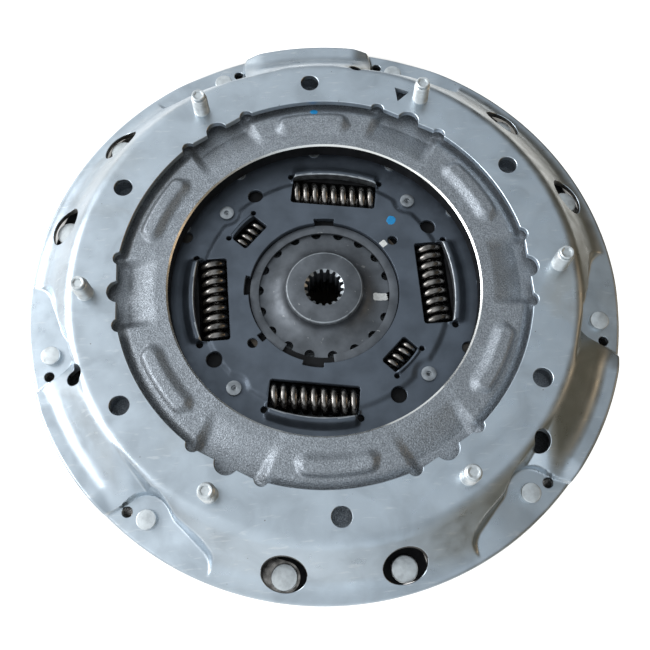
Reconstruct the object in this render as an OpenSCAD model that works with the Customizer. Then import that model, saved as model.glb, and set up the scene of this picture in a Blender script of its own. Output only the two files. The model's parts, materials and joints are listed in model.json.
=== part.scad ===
// Dual clutch assembly: two dry friction clutches on the two sides of one central driving plate.
// Frame: the origin is the middle of the drive ring's flywheel face, +Z points to the engine,
// and the six flywheel studs stand at 0, 60, 120, 180, 240 and 300 degrees.
// Clutch 1 is the front one, pulled shut by its cage; clutch 2 is the rear one, pushed shut.

/* [Drive ring] */
// Diameter of the circle that the six flywheel studs stand on
stud_circle_d = 224; // [223:0.5:225]
// Diameter over the rim of the drive ring
rim_d = 291.6; // [290:0.2:293]
// Diameter of the opening in the flat flange
ring_opening_d = 197; // [196:0.5:198]
// Thickness of the drive ring's sheet
ring_sheet = 3; // [2.8:0.1:3.2]
// Depth of the rim below the flywheel face
rim_drop = 20; // [19.5:0.1:20.5]
// Depth of the rivet pockets below the flywheel face
pocket_drop = 21; // [20.8:0.1:21.5]
// Diameter of the stud thread
stud_d = 8; // [7.5:0.1:8.5]
// Height of the studs above the flywheel face
stud_height = 13; // [11:0.5:15]
// Diameter of the six round holes between the studs
ring_hole_d = 9; // [8:0.1:10]
// Diameter of the openings in the slope that show the pressure plate rivets
slope_opening_d = 14.6; // [14.2:0.1:15]

/* [Friction parts] */
// Outer diameter of the friction facings
facing_d = 226; // [224:0.5:227]
// Inner diameter of the friction facings
facing_bore_d = 168; // [167:0.5:172]
// Thickness of one facing
facing_thick = 3.2; // [3:0.1:3.4]
// Thickness of the waved cushion segments between the facings
cushion_thick = 1.2; // [1:0.1:1.4]
// Depth of the first pressure plate's front face below the flywheel face
plate_1_depth = 3.4; // [3.4:0.1:3.8]
// Thickness of the first pressure plate
plate_1_thick = 10.6; // [10.2:0.1:11]
// Diameter of the machined opening in the first pressure plate
plate_1_bore_d = 148.8; // [148:0.2:149.6]
// Thickness of the central plate at its friction rings
central_thick = 14; // [13.6:0.1:14.4]
// Thickness of the second pressure plate
plate_2_thick = 12; // [11.5:0.1:12.5]
// Free gap between a pressure plate and its open disc
release_gap = 1.1; // [1.1:0.05:1.3]

/* [Dampers] */
// Distance of the large spring axes from the clutch axis, first disc
spring_1_offset = 54; // [53.6:0.1:54.4]
// Outer diameter of the large springs, first disc
spring_1_d = 14.4; // [14:0.1:14.6]
// Length of the large springs, first disc
spring_1_length = 42.4; // [42:0.1:43]
// Wire diameter of the large springs, first disc
spring_1_wire = 3.6; // [3.2:0.1:3.8]
// Distance of the small spring axes from the clutch axis, first disc
small_spring_offset = 48.8; // [48.4:0.1:49.2]
// Outer diameter of the small springs, first disc
small_spring_d = 9; // [8.6:0.1:9.4]
// Length of the small springs, first disc
small_spring_length = 16; // [15.5:0.1:16.5]
// Distance of the spring axes from the clutch axis, second disc
spring_2_offset = 47.5; // [47:0.1:48]
// Outer diameter of the springs, second disc
spring_2_d = 12; // [11.6:0.1:12.2]
// Length of the springs, second disc
spring_2_length = 30; // [29:0.1:31]
// Angle that a damper twists each way before its stop rivets meet the flange
damper_twist = 8; // [6:0.5:9]

/* [Shafts and bearing] */
// Number of spline teeth in the first hub
spline_1_teeth = 17; // [15:1:19]
// Root diameter of the first hub's spline
spline_1_root_d = 19.2; // [18.8:0.1:19.6]
// Tip diameter of the first hub's spline
spline_1_tip_d = 16.4; // [16:0.1:16.8]
// Number of spline teeth in the second hub
spline_2_teeth = 28; // [26:1:30]
// Root diameter of the second hub's spline
spline_2_root_d = 39; // [38.8:0.1:39.4]
// Tip diameter of the second hub's spline
spline_2_tip_d = 36; // [35.6:0.1:36.4]
// Bore of the central ball bearing
bearing_bore_d = 35; // [34.5:0.5:35.5]
// Outer diameter of the central ball bearing
bearing_outer_d = 62; // [61.5:0.5:62.5]
// Width of the central ball bearing
bearing_width = 14; // [13.8:0.1:14.2]
// Diameter of the bearing balls
ball_d = 7.94; // [7.8:0.02:8.1]

/* [Cover and lever springs] */
// Thickness of the clutch cover's sheet
cover_sheet = 3; // [2.8:0.1:3.2]
// Depth of the clutch cover from its flange to its back
cover_depth = 35.5; // [35.5:0.1:36]
// Thickness of the pull cage's sheet
cage_sheet = 3; // [2.8:0.1:3.2]
// Thickness of the first lever spring
lever_1_sheet = 2.4; // [2.2:0.1:2.6]
// Number of fingers of the first lever spring
lever_1_fingers = 18; // [18:1:18]
// Thickness of the second lever spring
lever_2_sheet = 2.2; // [2:0.1:2.4]
// Number of fingers of the second lever spring
lever_2_fingers = 15; // [12:1:18]
// Wire diameter of the fulcrum rings
fulcrum_wire = 3; // [2.8:0.1:3.2]

/* [Hidden] */
$fn = 64;

// Gaps: a free seat, a moving pair and a drilled hole round a fastener
seat_gap = 0.1;
run_gap = 0.3;
hole_gap = 0.1;

// Colours of the finishes
zinc = [0.66, 0.71, 0.75];
bright_steel = [0.83, 0.84, 0.85];
cast_grey = [0.34, 0.35, 0.37];
plate_grey = [0.29, 0.32, 0.36];
hub_grey = [0.26, 0.27, 0.29];
spring_dark = [0.16, 0.13, 0.12];
sheet_dark = [0.30, 0.30, 0.31];
bearing_steel = [0.75, 0.76, 0.78];
friction_brown = [0.30, 0.24, 0.18];
brass_rivet = [0.72, 0.58, 0.32];
seal_black = [0.08, 0.08, 0.09];

// Angles round the clutch axis
stud_angles = [0 : 60 : 300];
pair_centres = [90, 210, 330];
lug_centres = [30, 150, 270];
pocket_angle = 20;
locating_hole_angle = 16;
lug_rivet_angle = 11.4;
lug_half = 16;
bridge_half = 13.6;
bridge_wall_angle = 1.3;
full_lug_half = 24;
leaf_step_end = 35.5;
leaf_1_angle = 27.5;
leaf_2_angle = 30;
leaf_2_step_end = 33.5;

// Radii of the drive ring
rim_r = rim_d / 2;
ring_opening_r = ring_opening_d / 2;
stud_r = stud_circle_d / 2;
ring_hole_r = 110;
bend_r = 121;
flange_r = 139.5;
bridge_drop = rim_drop - 3.7;
slope_run = (flange_r - bend_r) / rim_drop;
bend_shift = ring_sheet * tan(atan(1 / slope_run) / 2);
rivet_circle_r = 135;
locating_hole_r = rivet_circle_r + 3;
locating_hole_d = 4.8;
lug_rivet_r = 134.8;
slope_opening_r = lug_rivet_r - 0.8;
slope_opening_half = 10;
shoulder_hole_r = 123.5;
pocket_corner = [-5.1, -5.4];
pocket_corner_r = 4;
pocket_tail = [-0.8, 31.8];
pocket_tail_r = 3.8;
pocket_near_lean = 26.5;
leaf_head_relief = 1.2;
tab_inset = 0.8;
notch_r = 5.4;
notch_circle = ring_opening_r - 1.8;
small_notch_r = 3.3;
small_notch_circle = ring_opening_r - 0.9;
small_notch_angle = 10;
mark_hole_r = 109.5;
mark_hole_angle = 65.2;
stud_shank_d = stud_d + 1;
stud_collar_d = stud_d + 3;
stud_collar = 1.6;
stud_tip = 2.5;
stud_socket_d = 4;
stud_socket = 2.2;
flange_pin_d = 6;
flange_head_r = 4.6;
flange_head = 3;
flange_tail_r = 4.6;
flange_tail = 2.5;

// Heights, from the flywheel face down
lug_top = -pocket_drop - ring_sheet;
lug_thick = 12;
lug_bottom = lug_top - lug_thick;
cover_flange_bottom = lug_bottom - cover_sheet;
cover_back = lug_bottom - cover_depth;
disc_thick = 2 * facing_thick + cushion_thick;
plate_1_top = -plate_1_depth;
plate_1_face = plate_1_top - plate_1_thick;
disc_1_top = plate_1_face - release_gap;
disc_1_middle = disc_1_top - disc_thick / 2;
central_top = disc_1_top - disc_thick - run_gap;
central_bottom = central_top - central_thick;
disc_2_top = central_bottom - run_gap;
disc_2_middle = disc_2_top - disc_thick / 2;
plate_2_face = disc_2_top - disc_thick - release_gap;
plate_2_back = plate_2_face - plate_2_thick;
damper_1_middle = disc_1_middle - 2.3;
damper_2_middle = disc_2_middle - 1.9;

// Friction parts
facing_r = facing_d / 2;
facing_bore_r = facing_bore_d / 2;
plate_bore_r = plate_1_bore_d / 2;
plate_r = 119;
friction_out_r = 116.5;
friction_in_r = 79;
boss_circle = 88;
boss_r = 5;
boss_end_ease = 0.15;
boss_rise = 2.4;
boss_half = 9.2;
valley_depth = 4;
valley_half = 10;
valley_in_r = 81;
valley_low_r = 94;
plate_1_shelf = -ring_sheet - 3.2;
leg_in_r = 117.5;
leg_out_r = 124.5;
leg_top = -9.5;
lug_out_r = lug_rivet_r + 6.2;
leaf_stack = 1;
plate_lug_top = lug_top - 1.5;
plate_lug_bottom = plate_lug_top - 5.5;
lug_pin_d = 7;
lug_head_r = 6;
lug_head = 3;
lug_tail_r = 4.5;

// Central plate and bearing
central_in_r = 78;
central_lug_r = rivet_circle_r + 9;
lug_relief_d = 14;
web_top = damper_1_middle - spring_1_d / 2 - 0.6;
web_bottom = damper_2_middle + spring_2_d / 2 + 1.5;
bearing_top = -25;
bearing_bottom = bearing_top - bearing_width;
bearing_r = bearing_outer_d / 2;
bearing_bore_r = bearing_bore_d / 2;
seat_wall = 6;
seat_top = bearing_top + 0.7;
seat_bottom = bearing_bottom - 1.9;
seat_lip = 2.5;
race_r = (bearing_r + bearing_bore_r) / 2;
race_wall = 4;
groove_r = ball_d / 2 + 0.13;
ball_count = 11;
circlip_thick = 1.5;
circlip_bite = 1.6;

// Cover, cage and lever springs
cover_bore_r = 119.5;
cover_r = cover_bore_r + cover_sheet - 0.5;
cover_window_half = 17;
cover_window_bottom = -58;
fulcrum_1_r = 100;
hook_in_r = fulcrum_1_r - 10;
cover_opening_r = hook_in_r - 2;
hook_sheet = 2.6;
hook_width = 6;
hook_reach_r = fulcrum_1_r + 3.5;
hook_step = 40;
lever_1_out_r = fulcrum_1_r + 17;
lever_1_tip_r = 46;
lever_1_slope = 0.13;
lever_1_front = cover_back - fulcrum_wire - 2 * seat_gap;
keyhole_1_r = 4.6;
keyhole_1_circle = hook_in_r + 1.6;
lever_slot = 2.2;
lever_cut = 30;
lever_2_out_r = 115.5;
lever_2_tip_r = 30;
lever_2_slope = 0.1;
fulcrum_2_r = 114;
lever_2_back = cover_back + cover_sheet + fulcrum_wire + 2 * seat_gap;
keyhole_2_r = 4.5;
keyhole_2_circle = 85;
cage_in_r = lug_rivet_r - 7.8;
cage_r = cage_in_r + cage_sheet;
cage_foot_bottom = plate_lug_bottom - cage_sheet;
adjuster_1_in = fulcrum_1_r + 11.5;
adjuster_1_out = adjuster_1_in + 7;
adjuster_1_top = lever_1_front + lever_1_slope * (adjuster_1_in - fulcrum_1_r) - lever_1_sheet - run_gap;
adjuster_1_thick = 2.2;
adjuster_1_ramp = 1.3;
cage_rim_top = adjuster_1_top - adjuster_1_thick - adjuster_1_ramp - run_gap;
adjuster_2_in = 101;
adjuster_2_out = adjuster_2_in + 8;
adjuster_2_contact = adjuster_2_in + 4;
adjuster_2_bottom = lever_2_back + lever_2_sheet - lever_2_slope * (fulcrum_2_r - adjuster_2_contact) + run_gap + 0.4;

// Leaf springs
leaf_1_width = 14;
leaf_2_width = 7;
leaf_2_circle = 122;
leaf_2_top = cover_flange_bottom;
plate_2_lug_top = leaf_2_top - leaf_stack;
plate_2_lug_thick = 10;
plate_2_lug_half = 8;
plate_2_lug_in = 115;
plate_2_lug_r = 126.2;
leaf_pin_d = 4;
leaf_head_r = 3.4;
leaf_head = 2;

// First disc's damper
window_1_angles = [1, 81, 181, 261];
small_window_angles = [136, 314];
stop_1_angles = [45.5 : 90 : 315.5];
large_hole_angles = [30 : 90 : 300];
edge_hole_angles = [153.3, 333.3];
small_hole_angles = [34.5, 214.5];
stop_1_r = 65;
stop_pin_d = 6;
stop_head_r = 3.6;
stop_head = 1.4;
stop_cup_d = 2.4;
stop_seat_r = stop_head_r + 1;
stop_seat_wall = 1.2;
damper_sheet = 2;
cover_1_in = 37;
cover_1_out = 82;
cover_step_r = 60.5;
cover_step_run = 2;
cover_1_low = disc_1_middle + cushion_thick / 2 + seat_gap;
cover_1_high = cover_1_low + 1.2;
flange_1_thick = 4;
flange_1_r = 68.5;
retainer_1_in = 40;
retainer_1_out = 70.5;
retainer_1_top = damper_1_middle - flange_1_thick / 2 - 1.8;
window_clear = 0.2;
lip_bow = 3;
lip_sheet = 1.8;
lip_rise = 1.8;
lip_inset = 0.3;
lip_end_hole_r = 1.6;
segment_in_r = 71.5;
segment_pin_r = 78.5;
segment_count = 12;
segment_pin_d = 4;
facing_pin_r = 98;
facing_pin_d = 4;
facing_pin_head_r = 3.4;

// First hub
hub_1_face = disc_1_top + 4.1;
hub_1_boss_r = 18.8;
hub_1_dish_r = 25;
hub_1_r = 33.4;
hub_1_back = bearing_top + 0.8;
tooth_count = 18;
tooth_gap_r = 1.75;
tooth_circle = 32.6;
flange_1_top = damper_1_middle + flange_1_thick / 2;
flange_1_bottom = damper_1_middle - flange_1_thick / 2;
snap_ring_in = 32.2;
snap_ring_out = 36.5;
snap_ring_thick = 1.5;
snap_ring_gap_start = -127.5;
snap_ring_gap_end = -86;

// Second disc's damper and hub
window_2_angles = [0, 90, 180, 270];
stop_2_angles = [45, 135, 225, 315];
stop_2_r = 56;
flange_2_r = 60.5;
flange_2_thick = 3.6;
flange_2_top = damper_2_middle + flange_2_thick / 2;
flange_2_bottom = damper_2_middle - flange_2_thick / 2;
plate_2_front_in = 40;
plate_2_front_out = 70;
front_plate_sheet = 1.6;
front_plate_bottom = flange_2_top + 1.1;
carrier_step_r = 62;
carrier_outer_top = disc_2_middle - cushion_thick / 2 - seat_gap;
carrier_inner_top = flange_2_bottom - 1.2;
hub_2_r = 24;
hub_2_back = -60;

// Basic shapes

// A point at a radius and an angle round the clutch axis
module at(radius, angle) {
    rotate([0, 0, angle]) translate([radius, 0, 0]) children();
}

// A flat ring between two heights
module ring(inner, outer, low, high) {
    translate([0, 0, low]) difference() {
        cylinder(r = outer, h = high - low, $fn = 180);
        translate([0, 0, -1]) cylinder(r = inner, h = high - low + 2, $fn = 180);
    }
}

// A wedge with its edge on the clutch axis, from one angle to another, less than 180 degrees apart
module wedge(start, end, reach, low, high) {
    span = end - start;
    far = reach / cos(span / 4);
    translate([0, 0, low]) linear_extrude(high - low) polygon([
        [0, 0],
        [far * cos(start), far * sin(start)],
        [far * cos(start + span / 2), far * sin(start + span / 2)],
        [far * cos(end), far * sin(end)]
    ]);
}

// A piece of a flat ring from one angle to another
module sector(inner, outer, low, high, start, end) {
    intersection() {
        ring(inner, outer, low, high);
        wedge(start, end, outer + 10, low - 1, high + 1);
    }
}

// A solid of revolution from a list of [radius, height] points
module turned(points) {
    rotate_extrude($fn = 180) polygon(points);
}

// A hole or pin along Z
module post(diameter, low, high) {
    translate([0, 0, low]) cylinder(d = diameter, h = high - low, $fn = 32);
}

// A rivet with a flat head above, a shank and a set head below
module rivet(shank_d, head_r, head_h, low, high, tail_r, tail_h) {
    post(shank_d, low - 0.5, high + 0.5);
    translate([0, 0, high]) cylinder(r = head_r, h = head_h, $fn = 48);
    translate([0, 0, low - tail_h]) cylinder(r = tail_r, h = tail_h, $fn = 48);
}

// A wire ring of round section
module wire_ring(radius, wire, height) {
    translate([0, 0, height]) rotate_extrude($fn = 180) translate([radius, 0]) circle(d = wire, $fn = 24);
}

// Helical springs

coil_steps = 12;
wire_sides = 6;
closed_turns = 0.8;

// Height of the wire's centre after a number of turns, with closed end coils
function coil_height(turn, turns, length, wire) =
    turn < closed_turns ? wire / 2 + turn / closed_turns * wire :
    turn > turns - closed_turns ? length - wire / 2 - (turns - turn) / closed_turns * wire :
    1.5 * wire + (turn - closed_turns) / (turns - 2 * closed_turns) * (length - 3 * wire);

// A point on the wire's skin
function coil_point(turn, side, turns, length, mean_r, wire) =
    let (a = 360 * turn, b = 360 * side / wire_sides, r = mean_r + wire / 2 * cos(b))
    [r * cos(a), r * sin(a), coil_height(turn, turns, length, wire) + wire / 2 * sin(b)];

// A helical spring that stands on Z = 0
module coil_spring(length, outer_d, wire, turns) {
    steps = turns * coil_steps;
    mean_r = (outer_d - wire) / 2;
    points = [
        for (i = [0 : steps], s = [0 : wire_sides - 1])
            coil_point(i / coil_steps, s, turns, length, mean_r, wire)
    ];
    sides = [
        for (i = [0 : steps - 1], s = [0 : wire_sides - 1])
            let (n = (s + 1) % wire_sides, a = i * wire_sides, b = a + wire_sides)
            [a + s, a + n, b + n, b + s]
    ];
    start_cap = [for (s = [wire_sides - 1 : -1 : 0]) s];
    end_cap = [for (s = [0 : wire_sides - 1]) steps * wire_sides + s];
    polyhedron(points, concat(sides, [start_cap, end_cap]), convexity = 10);
}

// A spring that lies along the tangent at a place on a disc
module lying_spring(offset, angle, height, length, outer_d, wire, turns) {
    at(offset, angle) translate([0, length / 2, height]) rotate([90, 0, 0])
        coil_spring(length, outer_d, wire, turns);
}

// A window for a lying spring, cut through everything between two heights
module spring_window(angle, inner, outer, half_length, low, high) {
    rotate([0, 0, angle]) translate([inner, -half_length, low])
        cube([outer - inner, 2 * half_length, high - low]);
}

// Drive ring and what holds it

// Cross-section of the sheet with its rim at a given depth
module ring_section(drop) {
    out_r = bend_r + drop * slope_run;
    polygon([
        [ring_opening_r, 0], [bend_r, 0], [out_r, -drop], [rim_r, -drop],
        [rim_r, -drop - ring_sheet], [out_r - bend_shift, -drop - ring_sheet],
        [bend_r - bend_shift, -ring_sheet], [ring_opening_r, -ring_sheet]
    ]);
}

// Everything under the sheet's upper face, down to the rivet seats
module below_sheet(drop) {
    rotate_extrude($fn = 180) polygon([
        [bend_r - 1, lug_top], [bend_r - 1, 0], [bend_r, 0],
        [bend_r + drop * slope_run, -drop], [rim_r, -drop], [rim_r, lug_top]
    ]);
}

// An obround hole whose straight part lies across the radius
module slot_cut(width, half_length, low, high) {
    straight = half_length - width / 2;
    for (side = [-1, 1]) translate([0, side * straight, 0]) post(width, low, high);
    translate([-width / 2, -straight, low]) cube([width, 2 * straight, high - low]);
}

// Plan of one rivet pocket, grown all round by a margin; it tapers away from the pair's centre
module pocket_plan(margin) {
    corner = pocket_corner_r + margin;
    tail = pocket_tail_r + margin;
    outside = rim_r - rivet_circle_r + 6;
    run = pocket_tail - pocket_corner;
    lean = atan2(run[1], run[0]) + acos((corner - tail) / norm(run));
    inner_touch = 0.98 * [cos(lean), sin(lean)];
    near_touch = 0.98 * [-sin(pocket_near_lean), -cos(pocket_near_lean)];
    near_start = pocket_corner + corner * near_touch;
    near_end = [outside, near_start[1] - (outside - near_start[0]) * tan(pocket_near_lean)];
    translate(pocket_corner) circle(r = corner, $fn = 32);
    translate(pocket_tail) circle(r = tail, $fn = 32);
    polygon([
        pocket_corner, near_start, near_end, [outside, 0], [pocket_tail[0] + 12, pocket_tail[1]],
        pocket_tail, pocket_tail + tail * inner_touch, pocket_corner + corner * inner_touch
    ]);
}

// One rivet pocket as a block between two heights
module pocket_block(centre, side, margin, low, high) {
    rotate([0, 0, centre]) mirror([0, side < 0 ? 1 : 0, 0])
        at(rivet_circle_r, pocket_angle) translate([0, 0, low])
            linear_extrude(high - low) pocket_plan(margin);
}

module drive_ring() {
    color(zinc) difference() {
        union() {
            difference() {
                union() {
                    rotate_extrude($fn = 180) ring_section(rim_drop);
                    intersection() {
                        below_sheet(rim_drop);
                        union() {
                            for (centre = pair_centres, side = [-1, 1])
                                pocket_block(centre, side, ring_sheet, lug_top, 1);
                        }
                    }
                }
                for (centre = pair_centres, side = [-1, 1])
                    pocket_block(centre, side, 0, -pocket_drop, 1);
                for (centre = pair_centres)
                    wedge(centre - bridge_half, centre + bridge_half, rim_r + 5, lug_top - 1, 1);
            }
            for (centre = pair_centres) {
                intersection() {
                    rotate_extrude($fn = 180) ring_section(bridge_drop);
                    wedge(centre - bridge_half, centre + bridge_half, rim_r + 5, lug_top - 1, 1);
                }
                for (side = [-1, 1]) intersection() {
                    below_sheet(bridge_drop);
                    wedge(
                        centre + (side < 0 ? -bridge_half : bridge_half - bridge_wall_angle),
                        centre + (side < 0 ? -bridge_half + bridge_wall_angle : bridge_half),
                        rim_r + 5, lug_top - 1, 1
                    );
                }
            }
            for (a = stud_angles) rotate([0, 0, a]) {
                tab_half = ring_opening_r * sin(small_notch_angle);
                translate([ring_opening_r - tab_inset, -tab_half, -ring_sheet])
                    cube([tab_inset + 2, 2 * tab_half, ring_sheet]);
            }
        }
        for (a = stud_angles) {
            at(stud_r, a) post(stud_shank_d + 2 * hole_gap, -ring_sheet - 1, 1);
            at(ring_hole_r, a + 30) post(ring_hole_d, -ring_sheet - 1, 1);
            at(notch_circle, a) post(2 * notch_r, -ring_sheet - 1, 1);
            for (side = [-1, 1]) at(small_notch_circle, a + side * small_notch_angle)
                post(2 * small_notch_r, -ring_sheet - 1, 1);
        }
        for (centre = pair_centres) {
            at(shoulder_hole_r, centre - 12) post(ring_hole_d, lug_top, 1);
            for (side = [-1, 1]) {
                at(rivet_circle_r, centre + side * pocket_angle)
                    post(flange_pin_d + 2 * hole_gap, lug_top - 1, 1);
                at(locating_hole_r, centre + side * locating_hole_angle)
                    post(locating_hole_d, lug_top - 1, 1);
            }
        }
        for (centre = lug_centres, side = [-1, 1])
            at(slope_opening_r, centre + side * lug_rivet_angle) slot_cut(slope_opening_d,
                slope_opening_half, lug_top - 1, 1);
        for (centre = pair_centres) at(lug_rivet_r, centre + 60 - leaf_1_angle)
            post(2 * leaf_head_r + 1, lug_top - 1, lug_top + leaf_head_relief);
        at(mark_hole_r, mark_hole_angle) translate([0, 0, -ring_sheet - 1]) linear_extrude(ring_sheet + 2)
            polygon([[3.4, -3.6], [3.4, 4], [-3.8, 0]]);
    }
}

module flywheel_studs() {
    color(bright_steel) for (a = stud_angles) at(stud_r, a) difference() {
        union() {
            post(stud_d, -1, stud_height - stud_tip);
            post(stud_d - 1.4, stud_height - stud_tip - 1, stud_height);
            post(stud_shank_d, -ring_sheet - 1, 0);
            post(stud_collar_d, -ring_sheet - stud_collar, -ring_sheet);
        }
        translate([0, 0, stud_height - stud_socket]) cylinder(d = stud_socket_d, h = 3, $fn = 6);
    }
}

module flange_rivets() {
    color(bright_steel) for (centre = pair_centres, side = [-1, 1])
        at(rivet_circle_r, centre + side * pocket_angle)
            rivet(flange_pin_d, flange_head_r, flange_head, cover_flange_bottom, -pocket_drop,
                flange_tail_r, flange_tail);
}

// Central plate

module central_plate() {
    color(cast_grey) difference() {
        union() {
            turned([
                [bearing_r - seat_lip, seat_top], [bearing_r + seat_wall, seat_top],
                [bearing_r + seat_wall, web_top], [central_in_r - 4, web_top],
                [central_in_r, central_top], [friction_out_r, central_top],
                [friction_out_r, central_bottom], [central_in_r, central_bottom],
                [central_in_r - 3, web_bottom], [bearing_r + seat_wall, web_bottom],
                [bearing_r + seat_wall, seat_bottom], [bearing_r - seat_lip, seat_bottom]
            ]);
            for (centre = pair_centres) {
                sector(friction_out_r - 4, central_lug_r, lug_bottom, lug_top,
                    centre - full_lug_half, centre + full_lug_half);
                sector(friction_out_r - 4, lug_out_r, lug_bottom, plate_lug_top,
                    centre + full_lug_half - 1, centre + leaf_step_end);
            }
        }
        translate([0, 0, seat_bottom - 1])
            cylinder(r = bearing_r, h = bearing_top - seat_bottom + 1, $fn = 180);
        ring(bearing_r - 1, bearing_r + circlip_bite, bearing_bottom - circlip_thick - 0.1, bearing_bottom);
        for (centre = pair_centres) {
            for (side = [-1, 1]) {
                at(rivet_circle_r, centre + side * pocket_angle)
                    post(flange_pin_d + 2 * hole_gap, lug_bottom - 1, lug_top + 1);
                at(locating_hole_r, centre + side * locating_hole_angle)
                    post(locating_hole_d, lug_bottom - 1, lug_top + 1);
            }
            at(rivet_circle_r, centre) post(lug_relief_d, lug_bottom - 1, lug_top + 1);
        }
        for (centre = lug_centres) at(lug_rivet_r, centre - leaf_1_angle)
            post(leaf_pin_d + 2 * hole_gap, lug_bottom - 1, lug_top + 1);
    }
}

// Bearing

module bearing_race(inner, outer) {
    difference() {
        ring(inner, outer, bearing_bottom, bearing_top);
        translate([0, 0, (bearing_top + bearing_bottom) / 2]) rotate_extrude($fn = 96)
            translate([race_r, 0]) circle(r = groove_r, $fn = 32);
    }
}

module bearing_outer_ring() {
    color(bearing_steel) bearing_race(bearing_r - race_wall, bearing_r);
}

module bearing_inner_ring() {
    color(bearing_steel) bearing_race(bearing_bore_r, bearing_bore_r + race_wall);
}

module bearing_balls() {
    color(bright_steel) for (i = [0 : ball_count - 1]) at(race_r, i * 360 / ball_count)
        translate([0, 0, (bearing_top + bearing_bottom) / 2]) sphere(d = ball_d, $fn = 32);
}

module bearing_cage() {
    middle = (bearing_top + bearing_bottom) / 2;
    color(brass_rivet) difference() {
        ring(race_r - 1, race_r + 1, middle - 3, middle + 3);
        for (i = [0 : ball_count - 1]) at(race_r, i * 360 / ball_count)
            translate([0, 0, middle]) sphere(r = groove_r, $fn = 32);
    }
}

module bearing_seals() {
    color(seal_black) for (low = [bearing_bottom + 0.4, bearing_top - 1.4])
        ring(bearing_bore_r + race_wall + 0.2, bearing_r - race_wall - 0.02, low, low + 1);
}

module bearing_circlip() {
    color(sheet_dark) difference() {
        ring(bearing_r - 2.5, bearing_r + circlip_bite - 0.1,
            bearing_bottom - circlip_thick - 0.05, bearing_bottom - 0.05);
        wedge(80, 100, bearing_r + 10, bearing_bottom - 3, bearing_bottom + 1);
        for (a = [76, 104]) at(bearing_r - 0.6, a) post(1.6, bearing_bottom - 3, bearing_bottom + 1);
    }
}

// Clutch cover and lever springs

// The two pieces of one cover hook: the leg beside the lever spring and the toe under it
module cover_hook() {
    toe_top = lever_1_front - lever_1_sheet - fulcrum_wire - 3 * seat_gap;
    translate([hook_in_r - hook_sheet / 2, -hook_width / 2, toe_top - hook_sheet])
        cube([hook_sheet, hook_width, cover_back - toe_top + hook_sheet + 1]);
    translate([hook_in_r - hook_sheet / 2, -hook_width / 2, toe_top - hook_sheet])
        cube([hook_reach_r - hook_in_r, hook_width, hook_sheet]);
}

module clutch_cover() {
    color(sheet_dark) difference() {
        union() {
            turned([
                [cover_bore_r, lug_bottom], [cover_r, lug_bottom], [cover_r, cover_back + 4],
                [cover_r - 4, cover_back], [cover_opening_r, cover_back],
                [cover_opening_r, cover_back + cover_sheet],
                [cover_bore_r - 3, cover_back + cover_sheet], [cover_bore_r, cover_back + cover_sheet + 3]
            ]);
            for (centre = pair_centres) {
                sector(cover_bore_r, central_lug_r, cover_flange_bottom, lug_bottom,
                    centre - full_lug_half, centre + full_lug_half);
                sector(cover_bore_r, 127, cover_flange_bottom, lug_bottom,
                    centre + full_lug_half - 1, centre + leaf_2_step_end);
            }
            for (a = [0 : hook_step : 359]) rotate([0, 0, a]) cover_hook();
        }
        for (centre = lug_centres) {
            sector(cover_bore_r - 2, cover_r + 2, cover_window_bottom, lug_bottom + 1,
                centre - cover_window_half, centre + cover_window_half);
            sector(cover_bore_r - 2, cover_r + 2, cover_flange_bottom - 6, cover_flange_bottom,
                centre - leaf_2_angle - 4, centre - cover_window_half + 1);
            at(leaf_2_circle, centre - leaf_2_angle)
                post(leaf_pin_d + 2 * hole_gap, cover_flange_bottom - 1, lug_bottom + 1);
        }
        for (centre = pair_centres) {
            for (side = [-1, 1]) {
                at(rivet_circle_r, centre + side * pocket_angle)
                    post(flange_pin_d + 2 * hole_gap, cover_flange_bottom - 1, lug_bottom + 1);
                at(locating_hole_r, centre + side * locating_hole_angle)
                    post(locating_hole_d, cover_flange_bottom - 1, lug_bottom + 1);
            }
            sector(cover_bore_r - 2, cover_r + 2, -62, -46, centre - 14, centre + 14);
        }
    }
}

module k1_front_fulcrum_ring() {
    color(bright_steel) wire_ring(fulcrum_1_r, fulcrum_wire, cover_back - seat_gap - fulcrum_wire / 2);
}

module k1_rear_fulcrum_ring() {
    color(bright_steel) wire_ring(fulcrum_1_r, fulcrum_wire,
        lever_1_front - lever_1_sheet - 1.5 * seat_gap - fulcrum_wire / 2);
}

module k2_fulcrum_ring() {
    color(bright_steel) wire_ring(fulcrum_2_r, fulcrum_wire,
        cover_back + cover_sheet + 0.75 * seat_gap + fulcrum_wire / 2);
}

// A slotted cone: fingers inside, a closed band outside; the reference circle has its front at Z = 0
module lever_spring(tip_r, out_r, base_r, slope, sheet, fingers, keyhole_r, keyhole_circle, turn) {
    difference() {
        turned([
            [tip_r, slope * (tip_r - base_r)], [out_r, slope * (out_r - base_r)],
            [out_r, slope * (out_r - base_r) - sheet], [tip_r, slope * (tip_r - base_r) - sheet]
        ]);
        for (i = [0 : fingers - 1]) rotate([0, 0, turn + i * 360 / fingers]) {
            translate([tip_r - 4, -lever_slot / 2, -lever_cut])
                cube([keyhole_circle - tip_r + 4, lever_slot, 2 * lever_cut]);
            translate([keyhole_circle, 0, -lever_cut]) cylinder(r = keyhole_r, h = 2 * lever_cut, $fn = 32);
        }
    }
}

module k1_lever_spring() {
    color(spring_dark) translate([0, 0, lever_1_front])
        lever_spring(lever_1_tip_r, lever_1_out_r, fulcrum_1_r, lever_1_slope, lever_1_sheet,
            lever_1_fingers, keyhole_1_r, keyhole_1_circle, 0);
}

module k2_lever_spring() {
    color(spring_dark) translate([0, 0, lever_2_back + lever_2_sheet])
        lever_spring(lever_2_tip_r, lever_2_out_r, fulcrum_2_r, lever_2_slope, lever_2_sheet,
            lever_2_fingers, keyhole_2_r, keyhole_2_circle, 12);
}

// Leaf springs

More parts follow.
